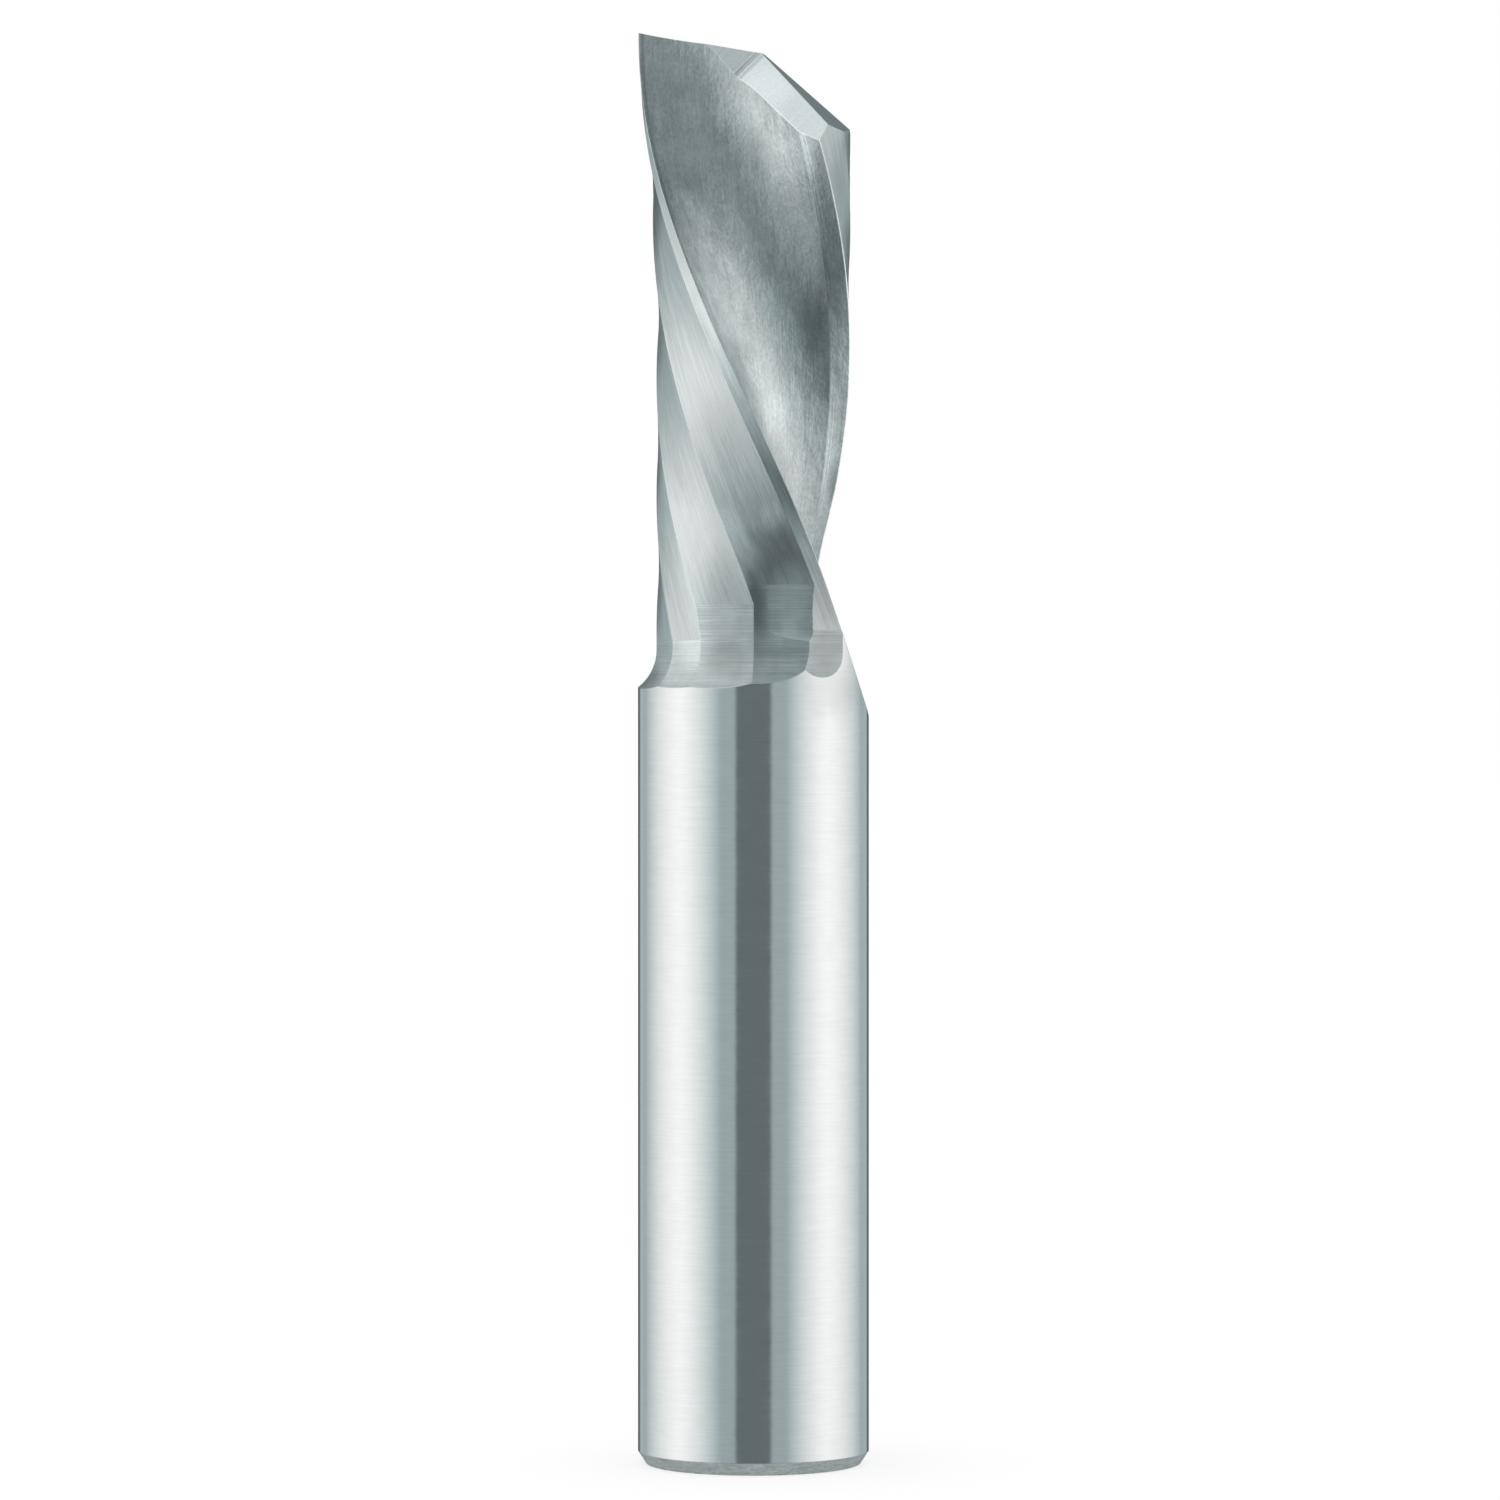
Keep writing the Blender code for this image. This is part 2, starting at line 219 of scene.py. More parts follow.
class Surface:
    """One surface of the tool: how high a point stands above it, and how its grain runs.

    Both take points as an array. The grain is a place across the grain and one along it.
    Below the height of its run-out, if it has one, the surface has the run-out's finish.
    """

    def __init__(self, finish, level, grain, run_out_below=None):
        self.finish = finish
        self.level = level
        self.grain = grain
        self.run_out_below = run_out_below

    def normals(self, points):
        """The directions in which the surface faces at points of it."""
        slopes = []
        for axis in np.eye(3) * TINY:
            slopes.append(self.level(points + axis) - self.level(points - axis))
        normals = np.stack(slopes, axis=1)
        return normals / np.linalg.norm(normals, axis=1, keepdims=True)


class Arc:
    """An arc of a section from start to end that bulges to its left."""

    def __init__(self, start, end, bulge, steps):
        start, end = Vector(start), Vector(end)
        half = (end - start).length / 2
        self.radius = (half ** 2 + bulge ** 2) / (2 * bulge)
        left = Vector((start.y - end.y, end.x - start.x)).normalized()
        self.centre = (start + end) / 2 - left * (self.radius - bulge)
        self.sweep = -2 * atan2(half, self.radius - bulge)
        self.first = start - self.centre
        turns = [self.sweep * step / steps for step in range(steps)]
        self.points = [self.centre + Matrix.Rotation(turn, 2) @ self.first for turn in turns]

    def level(self, places):
        """How far places of the section lie inside the arc's circle."""
        return self.radius - np.hypot(places[:, 0] - self.centre.x, places[:, 1] - self.centre.y)

    def run(self, places):
        """How far along the arc places of the section lie."""
        angle = np.arctan2(places[:, 1] - self.centre.y, places[:, 0] - self.centre.x)
        turn = angle - atan2(self.first.y, self.first.x)
        return self.radius * ((turn + pi) % (2 * pi) - pi) * np.sign(self.sweep)


class Line:
    """A straight stretch of a section from start to end, with the open side on its right."""

    def __init__(self, start, end):
        self.start = Vector(start)
        self.along = (Vector(end) - self.start).normalized()
        self.points = [self.start]

    def level(self, places):
        """How far places of the section lie on the line's open side."""
        return (places[:, 0] - self.start.x) * self.along.y - (places[:, 1] - self.start.y) * self.along.x

    def run(self, places):
        """How far along the line places of the section lie."""
        return (places[:, 0] - self.start.x) * self.along.x + (places[:, 1] - self.start.y) * self.along.y


def radii(points):
    """How far points of the tool lie from its axis."""
    return np.hypot(points[:, 0], points[:, 1])


def round_grain(points):
    """Grain that runs round the tool: its height, and how far round it is."""
    angle = np.arctan2(points[:, 0], points[:, 1])
    return np.stack((points[:, 2], angle * SHANK_RADIUS), axis=1)


def loft(name, rings, labels, collection):
    """A closed solid through rings of equally many points, each anticlockwise from above.

    A face takes the label of its step from ring to ring and along the ring, as its
    surface's number. It is all triangles, so that each of its facets is truly flat.
    """
    form = bmesh.new()
    loops = [[form.verts.new(point) for point in ring] for ring in rings]
    for step, (lower, upper) in enumerate(zip(loops, loops[1:])):
        for index in range(len(lower)):
            face = form.faces.new((lower[index - 1], lower[index], upper[index], upper[index - 1]))
            face.material_index = labels(step, index)
    form.faces.new(reversed(loops[0])).material_index = labels(-1, 0)
    form.faces.new(loops[-1]).material_index = labels(len(rings) - 1, 0)
    bmesh.ops.triangulate(form, faces=form.faces[:], quad_method="FIXED")
    return add_solid(name, form, collection)


def add_solid(name, form, collection):
    """A new object in a collection, with a form as its mesh."""
    mesh = bpy.data.meshes.new(name)
    form.to_mesh(mesh)
    form.free()
    solid = bpy.data.objects.new(name, mesh)
    collection.objects.link(solid)
    return solid


class Tool:
    """The rod and the cutters that grind it, with the surfaces that they leave."""

    def __init__(self):
        self.surfaces = []
        self.cutters = bpy.data.collections.new("cutters")
        bpy.context.scene.collection.children.link(self.cutters)

    def add(self, *surface):
        """Note a surface, and give its number."""
        self.surfaces.append(Surface(*surface))
        return len(self.surfaces) - 1

    def make_rod(self):
        """The round rod with the chamfer at its shank end."""
        slope = atan2(CHAMFER_DEPTH, CHAMFER_LENGTH)
        bend = pi / 2 - slope
        centre_radius = SHANK_RADIUS - CHAMFER_DEPTH - CHAMFER_EDGE_ROUND * tan(bend / 2)
        outline = []
        for step in range(EDGE_ROUND_STEPS + 1):
            turn = bend * step / EDGE_ROUND_STEPS
            radius = centre_radius + CHAMFER_EDGE_ROUND * sin(turn)
            outline.append((radius, CHAMFER_EDGE_ROUND - CHAMFER_EDGE_ROUND * cos(turn)))
        outline += [
            (SHANK_RADIUS, CHAMFER_LENGTH),
            (SHANK_RADIUS, SHANK_LENGTH),
            (STOCK_RADIUS, SHANK_LENGTH + CUTTER_REACH),
            (STOCK_RADIUS, OVERALL_LENGTH + CUTTER_MARGIN),
        ]

        def shank_level(points):
            return radii(points) - SHANK_RADIUS

        def chamfer_level(points):
            past_shank = radii(points) - SHANK_RADIUS
            return past_shank * cos(slope) - (points[:, 2] - CHAMFER_LENGTH) * sin(slope)

        def round_level(points):
            return np.hypot(radii(points) - centre_radius, points[:, 2] - CHAMFER_EDGE_ROUND)

        shank = self.add("shank", shank_level, round_grain)
        chamfer = self.add("chamfer", chamfer_level, round_grain)
        edge_round = self.add("chamfer", round_level, round_grain)
        bottom = self.add("chamfer", lambda points: -points[:, 2], lambda points: points[:, :2])
        numbers = [edge_round] * EDGE_ROUND_STEPS + [chamfer, shank, shank, shank, shank]

        def labels(step, index):
            return bottom if step < 0 else numbers[step]

        turns = [2 * pi * index / ROD_SEGMENTS for index in range(ROD_SEGMENTS)]
        rings = []
        for radius, height in outline:
            rings.append([Vector((radius * cos(turn), radius * sin(turn), height)) for turn in turns])
        return loft("ground_end_mill", rings, labels, bpy.context.scene.collection)

    def flat_cutter(self, name, finish, start, end, crown, run_out, clear_lift):
        """The space outside one flat, between two ridges in clockwise order.

        The flat's middle stands proud of its ridges by the crown. Its run-out is the
        flat's end, its straight stretch and its wheel's radius, and a lift clears the rod.
        """
        flat_end, straight, wheel_radius = run_out
        twist_end = flat_end + straight
        along = (end - start).normalized()
        outward = Vector((-along.y, along.x))
        middle = (start + end) / 2
        half = (end - start).length / 2
        turn = lift_turn(wheel_radius, clear_lift)
        arc_drop = wheel_radius * sin(turn)

        def place(points):
            section = in_section(points, np.maximum(points[:, 2], twist_end)) - np.array(middle)
            return section @ np.array(along), section @ np.array(outward)

        def level(points):
            run, rise = place(points)
            drop = flat_end - points[:, 2]
            lift = wheel_lift(np.minimum(drop, arc_drop), wheel_radius)
            lift += np.maximum(drop - arc_drop, 0.0) * tan(turn)
            return rise - crown * (1 - (run / half) ** 2) - lift

        def grain(points):
            return np.stack((place(points)[0], points[:, 2]), axis=1)

        number = self.add(finish, level, grain, twist_end)
        section = [middle + along * run + outward * rise for run, rise in flat_outline(half, crown)]
        levels = [(flat_end - drop, lift) for drop, lift in reversed(lift_out(wheel_radius, clear_lift))]
        levels += [(height, 0.0) for height in (twist_end, *levels_above(twist_end))]
        rings = []
        for height, lift in levels:
            angle = edge_angle(max(height, twist_end))
            rings.append([turned(point + outward * lift, angle, height) for point in section])
        loft(name, rings, lambda step, index: number, self.cutters)

    def make_relief_cutters(self):
        """One cutter for each flat, from the land round to the heel."""
        relief = radians(LAND_RELIEF)
        edge = Vector((CUTTING_RADIUS, 0.0))
        land_back = edge - LAND_WIDTH * Vector((sin(relief), cos(relief)))
        second = ridge(SECOND_RELIEF_ANGLE, SECOND_RELIEF_RADIUS)
        third = ridge(THIRD_RELIEF_ANGLE, THIRD_RELIEF_RADIUS)
        back_end = SHANK_LENGTH + wheel_drop(SHANK_RADIUS - BACK_RADIUS, BACK_WHEEL_RADIUS)
        land_run_out = (SHANK_LENGTH + LAND_END, LAND_STRAIGHT, LAND_WHEEL_RADIUS)
        second_end = SHANK_LENGTH + SECOND_RELIEF_END
        second_run_out = (second_end, SECOND_RELIEF_STRAIGHT, SECOND_RELIEF_WHEEL_RADIUS)
        third_run_out = (back_end, THIRD_RELIEF_STRAIGHT, BACK_WHEEL_RADIUS)
        flats = [
            ("land", "land", edge, land_back, 0.0, land_run_out),
            ("second_relief", "relief", land_back, second, 0.0, second_run_out),
            ("third_relief", "relief", second, third, 0.0, third_run_out),
        ]
        start = third
        straight = FIRST_BACK_STRAIGHT
        for index, angle in enumerate((*BACK_RIDGE_ANGLES, 360.0 - FLUTE_WIDTH_ANGLE)):
            end = ridge(angle, BACK_RADIUS)
            run_out = (back_end, straight, BACK_WHEEL_RADIUS)
            flats.append(("back_flat_" + str(index + 1), "back", start, end, BACK_CROWN, run_out))
            start = end
            straight = BACK_STRAIGHT
        deepest = min(flat_depth(start, end) for _, _, start, end, _, _ in flats)
        for flat in flats:
            self.flat_cutter(*flat, STOCK_RADIUS - deepest)

    def make_flute_cutter(self):
        """The space that the flute wheel sweeps, rising out of the rod at the shank."""
        edge = Vector((CUTTING_RADIUS, 0.0))
        heel = ridge(-FLUTE_WIDTH_ANGLE, BACK_RADIUS)
        rake = Arc(edge, RAKE_FOOT, RAKE_HOOK, RAKE_STEPS)
        floor = Arc(RAKE_FOOT, WALL_FOOT, FLOOR_BULGE, FLOOR_STEPS)
        wall = Arc(WALL_FOOT, HEEL_CREASE, WALL_BULGE, WALL_STEPS)
        crease = Line(HEEL_CREASE, heel)
        floor_radius = min(point.length for point in floor.points)
        run_out_end = SHANK_LENGTH - FLUTE_END_BELOW_SHANK
        run_out_start = run_out_end + wheel_drop(STOCK_RADIUS - floor_radius, FLUTE_WHEEL_RADIUS)
        lift_way = np.array((cos(radians(FLUTE_LIFT_ANGLE)), sin(radians(FLUTE_LIFT_ANGLE))))

        def place(points):
            lift = wheel_lift(run_out_start - points[:, 2], FLUTE_WHEEL_RADIUS)
            return in_section(points, points[:, 2]) - lift[:, None] * lift_way

        def number(finish, curve):
            def level(points):
                return curve.level(place(points))

            def grain(points):
                return np.stack((curve.run(place(points)), points[:, 2]), axis=1)

            return self.add(finish, level, grain)

        rake_number = number("rake", rake)
        floor_number = number("flute", floor)
        wall_number = number("flute", wall)
        crease_number = number("crease", crease)
        past_edge = (edge - rake.points[1]).normalized()
        past_heel = (heel - Vector(HEEL_CREASE)).normalized()
        reach = STOCK_RADIUS + CUTTER_REACH
        section = [
            (heel + past_heel * CUTTER_MARGIN, crease_number),
            (heel + past_heel * (reach - heel.y) / past_heel.y, rake_number),
            (Vector((reach, reach)), rake_number),
            (edge + past_edge * (reach - edge.x) / past_edge.x, rake_number),
            (edge + past_edge * CUTTER_MARGIN, rake_number),
        ]
        section += [(point, rake_number) for point in rake.points[1:]]
        section += [(point, floor_number) for point in floor.points]
        section += [(point, wall_number) for point in wall.points]
        section += [(point, crease_number) for point in crease.points]
        section.reverse()
        rings = []
        for height in levels_above(run_out_end - FLUTE_CLEAR_STEPS * HELIX_STEP):
            lift = float(wheel_lift(run_out_start - height, FLUTE_WHEEL_RADIUS))
            shift = Vector(lift * lift_way)
            rings.append([turned(point + shift, edge_angle(height), height) for point, _ in section])
        loft("flute_cutter", rings, lambda step, index: section[index][1], self.cutters)

    def plane_surface(self, finish, through, facing, along):
        """Note a plane through a point, facing a direction, with grain along another."""
        facing = np.array(facing.normalized())
        along = np.array(along.normalized())
        across = np.cross(along, facing)

        def level(points):
            return (points - np.array(through)) @ facing

        def grain(points):
            offsets = points - np.array(through)
            return np.stack((offsets @ across, offsets @ along), axis=1)

        return self.add(finish, level, grain)

    def end_cutter(self, name, through, facing, along):
        """A block that cuts away all of the end that lies in front of a plane."""
        number = self.plane_surface("end", through, facing, along)
        place = Matrix.Translation(through + facing.normalized() * CUTTER_BLOCK / 2)
        turn = facing.to_track_quat("Z", "Y").to_matrix().to_4x4()
        form = bmesh.new()
        bmesh.ops.create_cube(form, size=CUTTER_BLOCK, matrix=place @ turn)
        for face in form.faces:
            face.material_index = number
        add_solid(name, form, self.cutters)

    def make_end_cutters(self):
        """The two reliefs behind the end cutting edge, the bevel and the clearance behind it."""
        dish = radians(DISH_ANGLE)
        inward = Vector((cos(dish), 0.0, -sin(dish)))
        corner = end_edge_point(-CUTTING_RADIUS)
        first_fall = radians(END_RELIEF)
        second_fall = radians(END_SECOND_RELIEF)
        reliefs = (("end_relief", 0.0, first_fall), ("end_back", END_LAND_WIDTH, second_fall))
        for name, offset, fall in reliefs:
            start = corner + Vector((0.0, offset * cos(first_fall), -offset * sin(first_fall)))
            behind = Vector((0.0, cos(fall), -sin(fall)))
            self.end_cutter(name, start, inward.cross(behind), inward)
        bevel = Vector(BEVEL_FACING)
        clearance = Vector(CLEARANCE_FACING)
        start = end_edge_point(BEVEL_START)
        crest = point_on_plane(*BEVEL_CREST, start, bevel)
        ridge_way = bevel.cross(clearance)
        self.end_cutter("bevel", start, bevel, ridge_way)
        self.end_cutter("clearance", crest, clearance, ridge_way)

    def make_gash_cutter(self):
        """The gash, a wide wedge with a rounded corner between its floor and its rake."""
        floor = Vector(GASH_FLOOR_FACING).normalized()
        rake = Vector(GASH_RAKE_FACING).normalized()
        along = floor.cross(rake).normalized()
        floor_start = end_edge_point(BEVEL_START)
        rake_start = end_edge_point(GASH_START)
        offsets = Vector((floor.dot(floor_start), rake.dot(rake_start), along.dot(floor_start)))
        corner = Matrix((floor, rake, along)).inverted() @ offsets
        floor_run = along.cross(floor)
        rake_run = rake.cross(along)
        outward = (floor + rake).normalized()
        bend = floor.angle(rake)
        centre = corner + outward * GASH_CORNER_RADIUS / cos(bend / 2)
        centre_point = np.array(centre)
        axis = np.array(along)
        first = np.array(-rake)

        def corner_level(points):
            offsets = points - centre_point
            offsets = offsets - np.outer(offsets @ axis, axis)
            return GASH_CORNER_RADIUS - np.linalg.norm(offsets, axis=1)

        def corner_grain(points):
            offsets = points - centre_point
            turn = np.arctan2(offsets @ np.cross(axis, first), offsets @ first)
            return np.stack((offsets @ axis, GASH_CORNER_RADIUS * turn), axis=1)

        floor_number = self.plane_surface("gash", floor_start, floor, floor_run)
        rake_number = self.plane_surface("gash_rake", rake_start, rake, rake_run)
        corner_number = self.add("gash_corner", corner_level, corner_grain)
        # The wedge reaches well past the rod on all its open sides
        outline = [
            (corner + floor_run * GASH_REACH * 3, floor_number),
            (corner + floor_run * GASH_REACH * 3 + outward * GASH_REACH * 2, floor_number),
            (corner + rake_run * GASH_REACH + outward * GASH_REACH * 2, floor_number),
            (corner + rake_run * GASH_REACH, floor_number),
        ]
        for step in range(CORNER_STEPS + 1):
            blend = Matrix.Rotation(bend * step / CORNER_STEPS, 3, rake.cross(floor))
            number = corner_number if step else rake_number
            outline.append((centre - GASH_CORNER_RADIUS * (blend @ rake), number))
        rings = []
        for offset in (2 * GASH_REACH, -2 * GASH_REACH):
            rings.append([point + along * offset for point, _ in outline])
        loft("gash", rings, lambda step, index: outline[index][1], self.cutters)

    def ground(self, rod):
        """Grind the rod with every cutter at once, and settle the cuts into its mesh."""
        for number in range(len(self.surfaces)):
            rod.data.materials.append(bpy.data.materials.new("surface_" + str(number)))
        cut = rod.modifiers.new("ground", "BOOLEAN")
        cut.operation = "DIFFERENCE"
        cut.solver = "EXACT"
        cut.operand_type = "COLLECTION"
        cut.collection = self.cutters
        cut.material_mode = "INDEX"
        bpy.context.view_layer.update()
        evaluated = rod.evaluated_get(bpy.context.evaluated_depsgraph_get())
        rod.data = bpy.data.meshes.new_from_object(evaluated)
        rod.modifiers.clear()
        for cutter in list(self.cutters.objects):
            bpy.data.objects.remove(cutter)
        bpy.data.collections.remove(self.cutters)
        return rod


def flat_depth(start, end):
    """How near the axis the flat between two ridges comes."""
    along = (end - start).normalized()
    return start.dot(Vector((-along.y, along.x)))


def flat_outline(half, crown):
    """The outline of a flat's cutter, as places along the flat and outwards from it."""
    wide = half + CUTTER_MARGIN
    reach = STOCK_RADIUS
    fall = crown * (2 - 1 / CROWN_STEPS) / half
    outline = [(-reach, -fall * (reach - half)), (-wide, -fall * (wide - half))]
    for step in range(1 - CROWN_STEPS, CROWN_STEPS):
        outline.append((half * step / CROWN_STEPS, crown * (1 - (step / CROWN_STEPS) ** 2)))
    outline += [(wide, -fall * (wide - half)), (reach, -fall * (reach - half))]
    return outline + [(reach, reach), (-reach, reach)]


def levels_above(low):
    """Heights one helix step apart, from just above a height up to past the tip."""
    top = OVERALL_LENGTH + CUTTER_REACH
    count = int((top - low) / HELIX_STEP - LEAST_STEP)
    return [top - HELIX_STEP * index for index in range(count, -1, -1)]


def end_edge_point(x):
    """The point of the end cutting edge's line at a place across the tool."""
    return Vector((x, 0.0, OVERALL_LENGTH - (CUTTING_RADIUS + x) * tan(radians(DISH_ANGLE))))


def point_on_plane(x, y, through, facing):
    """The point at x and y of the plane through a point, facing a direction."""
    height = through.z - ((x - through.x) * facing.x + (y - through.y) * facing.y) / facing.z
    return Vector((x, y, height))


def read_values(items, name, kind, width=1):
    """A value of each item of a mesh, or a row of values, as an array."""
    values = np.zeros(len(items) * width, kind)
    items.foreach_get(name, values)
    return values.reshape(-1, width) if width > 1 else values


def finish_slots(mesh, surfaces, names):
    """The slot of each face: that of its surface's finish, or of its run-out's."""
    numbers = read_values(mesh.polygons, "material_index", np.int32)
    heights = read_values(mesh.polygons, "center", float, 3)[:, 2]
    slots = np.zeros(len(numbers), np.int32)
    for number, surface in enumerate(surfaces):
        own = numbers == number
        slots[own] = names.index(surface.finish)
        if surface.run_out_below is not None:
            lower = own & (heights < surface.run_out_below)
            slots[lower] = names.index(surface.finish + "_run_out")
    return slots


def dress(obj, surfaces, finishes):
    """Give every surface its true curve's shading, its grain and its finish."""
    mesh = obj.data
    totals = read_values(mesh.polygons, "loop_total", np.int32)
    numbers = np.repeat(read_values(mesh.polygons, "material_index", np.int32), totals)
    facings = np.repeat(read_values(mesh.polygons, "normal", float, 3), totals, axis=0)
    corners = read_values(mesh.loops, "vertex_index", np.int32)
    points = read_values(mesh.vertices, "co", float, 3)[corners]
    normals = facings.copy()
    grain = np.zeros((len(points), 2))
    for number, surface in enumerate(surfaces):
        chosen = numbers == number
        if not chosen.any():
            continue
        found = surface.normals(points[chosen])
        found *= np.sign(np.sum(found * facings[chosen], axis=1, keepdims=True))
        normals[chosen] = found
        grain[chosen] = surface.grain(points[chosen])
    slots = finish_slots(mesh, surfaces, list(finishes))
    mesh.materials.clear()
    for finish in finishes.values():
        mesh.materials.append(finish)
    mesh.polygons.foreach_set("material_index", slots)
    layer = mesh.uv_layers.new(name="grain")
    layer.data.foreach_set("uv", grain.astype(np.float32).ravel())
    mesh.shade_smooth()
    mesh.normals_split_custom_set([Vector(normal) for normal in normals])
    mesh.update()


class Nodes:
    """The nodes of a material, put together step by step."""

    def __init__(self, name):
        self.material = bpy.data.materials.new(name)
        self.material.use_nodes = True
        self.tree = self.material.node_tree
        self.shader = self.tree.nodes["Principled BSDF"]

    def put(self, socket, value):
        """Set a socket to a value, or link the output of another node to it."""
        if isinstance(value, bpy.types.NodeSocket):
            self.tree.links.new(value, socket)
        else:
            socket.default_value = value

    def set(self, name, value):
        """Set an input of the shader, or link it to the output of a node."""
        self.put(self.shader.inputs[name], value)

    def node(self, kind, **inputs):
        """A new node, with its named inputs set or linked."""
        node = self.tree.nodes.new("ShaderNode" + kind)
        for name, value in inputs.items():
            self.put(node.inputs[name.replace("_", " ")], value)
        return node

    def math(self, operation, first, second=0.0):
        """The result of an operation on one or two numbers."""
        node = self.node("Math")
        node.operation = operation
        self.put(node.inputs[0], first)
        self.put(node.inputs[1], second)
        return node.outputs[0]

    def vector_math(self, operation, first):
        """A node with an operation on a vector."""
        node = self.node("VectorMath")
        node.operation = operation
        self.put(node.inputs[0], first)
        return node

    def spread(self, value, low, high, to_low=0.0, to_high=1.0, smooth=False):
        """A value taken from one range to another, and held within that."""
        node = self.node("MapRange", Value=value, From_Min=low, From_Max=high, To_Min=to_low, To_Max=to_high)
        node.interpolation_type = "SMOOTHSTEP" if smooth else "LINEAR"
        return node.outputs["Result"]

    def step(self, value, low, high):
        """A smooth step from 0 to 1 as a value goes from low to high."""
        return self.spread(value, low, high, smooth=True)

    def mix(self, share, first, second):
        """A number that goes from the first to the second as the share goes from 0 to 1."""
        return self.spread(share, 0.0, 1.0, first, second)

    def mix_colours(self, share, first, second):
        """A colour that goes from the first to the second as the share goes from 0 to 1."""
        node = self.node("Mix", Factor=share)
        node.data_type = "RGBA"
        # The node's two colours are its inputs 6 and 7, and what they mix to is output 2
        node.inputs[6].default_value = (*first, 1.0)
        node.inputs[7].default_value = (*second, 1.0)
        return node.outputs[2]


class Finish(Nodes):
    """A metal finish. Its scatter is how much wider its gloss spreads along the tool."""

    def __init__(self, name, colour, roughness, scatter=0.0):
        super().__init__(name)
        self.colour = colour
        self.set("Base Color", (*colour, 1.0))
        self.set("Roughness", roughness)
        self.set("Metallic", 1.0)
        if scatter:
            self.set("Anisotropic", scatter)
            self.set("Anisotropic Rotation", QUARTER_TURN)
            tangent = self.node("Tangent")
            tangent.direction_type = "RADIAL"
            tangent.axis = "Z"
            self.set("Tangent", tangent.outputs[0])
        rounded = self.node("Bevel", Radius=EDGE_WEAR)
        rounded.samples = EDGE_SAMPLES
        self.rounded = rounded.outputs[0]
        self.facing = self.rounded
        self.set("Normal", self.facing)

    def grain(self, across, along):
        """The place on the surface, in steps of a size across its grain and one along it."""
        source = self.node("UVMap")
        source.uv_map = "grain"
        return self.node("Mapping", Vector=source.outputs[0], Scale=(1 / across, 1 / along, 1.0)).outputs[0]

    def place(self, x, y, z):
        """The place on the tool, in steps of a size along each axis."""
        source = self.node("TexCoord")
        return self.node("Mapping", Vector=source.outputs["Object"], Scale=(1 / x, 1 / y, 1 / z)).outputs[0]

    def patch(self, x, z, half_width, half_length, lean):
        """The share of a soft patch on the front, by its place, half sizes and lean."""
        patch = self.node("Mapping")
        patch.vector_type = "TEXTURE"
        self.put(patch.inputs["Vector"], self.node("TexCoord").outputs["Object"])
        self.put(patch.inputs["Location"], (x * MILLIMETRE, 0.0, z * MILLIMETRE))
        self.put(patch.inputs["Rotation"], (0.0, -radians(lean), 0.0))
        self.put(patch.inputs["Scale"], (half_width * MILLIMETRE, 1.0, half_length * MILLIMETRE))
        away = self.vector_math("LENGTH", patch.outputs[0])
        amount = self.step(self.math("ADD", away.outputs["Value"], self.ragged), *PATCH_FADE)
        return self.math("MULTIPLY", amount, self.front)

    def start_patches(self, depth):
        """What all patches share: their ragged outline, and how far back they may lie."""
        lumps = self.noise(self.place(*RAGGED_SIZE), detail=3.0)
        self.ragged = self.spread(lumps, 0.0, 1.0, -RAGGED, RAGGED)
        parts = self.node("SeparateXYZ", Vector=self.node("TexCoord").outputs["Object"]).outputs
        self.front = self.step(parts["Y"], depth + FRONT_FALL, depth - FRONT_FALL)

    def paint_light_and_shade(self, patches, depth=0.0):
        """Painted highlight and painted shade: lighter and darker patches, each with its tone."""
        self.start_patches(depth)
        for *place, tone in patches:
            self.tone(self.patch(*place), 1.0, tone)

    def haze(self, patches, elsewhere):
        """Patches that are ground matte, each with its share, and a share elsewhere."""
        metallic = self.math("SUBTRACT", 1.0, elsewhere)
        for *place, share in patches:
            metallic = self.math("SUBTRACT", metallic, self.math("MULTIPLY", self.patch(*place), share))
        self.set("Metallic", metallic)

    def line(self, place, middle, width):
        """The share of a fine line: 1 at its middle, and 0 from its width away."""
        away = self.math("ABSOLUTE", self.math("SUBTRACT", place, middle))
        return self.step(away, width, 0.0)

    def noise(self, place, detail, roughness=0.5, distortion=0.0):
        """Noise from 0 to 1, in lumps of about one step of the place."""
        looks = {"Detail": detail, "Roughness": roughness, "Distortion": distortion}
        node = self.node("TexNoise", Vector=place, Scale=1.0, **looks)
        return self.spread(node.outputs["Fac"], *NOISE_RANGE)

    def texture(self, size, detail, roughness=0.5, distortion=0.0, depth=0.0, tones=None):
        """Noise, with the depth of its relief and the tones at its lows and highs.

        The size of its lumps is across the grain and along it, or along x, y and z.
        """
        place = self.grain(*size) if len(size) == 2 else self.place(*size)
        noise = self.noise(place, detail, roughness, distortion)
        if depth:
            self.raise_by(noise, depth)
        if tones:
            self.tone(noise, *tones)
        return noise

    def raise_by(self, height, depth):
        """Add relief to the surface: a height from 0 to 1 over a depth."""
        self.facing = self.node("Bump", Distance=depth, Height=height, Normal=self.facing).outputs[0]
        self.set("Normal", self.facing)

    def tone(self, value, low, high):
        """Darken and lighten the colour between two shares, by a value from 0 to 1."""
        node = self.vector_math("SCALE", self.colour)
        self.put(node.inputs["Scale"], self.spread(value, 0.0, 1.0, low, high))
        self.colour = node.outputs[0]
        self.set("Base Color", self.colour)

    def paint_edge_highlights(self, share):
        """Lighten the colour along the edges, a painted highlight where the rounded edges catch the light.
        """
        compare = self.vector_math("DOT_PRODUCT", self.rounded)
        self.put(compare.inputs[1], self.node("NewGeometry").outputs["Normal"])
        self.tone(self.spread(compare.outputs["Value"], *EDGE_HIGHLIGHT_BEND), 1.0, share)

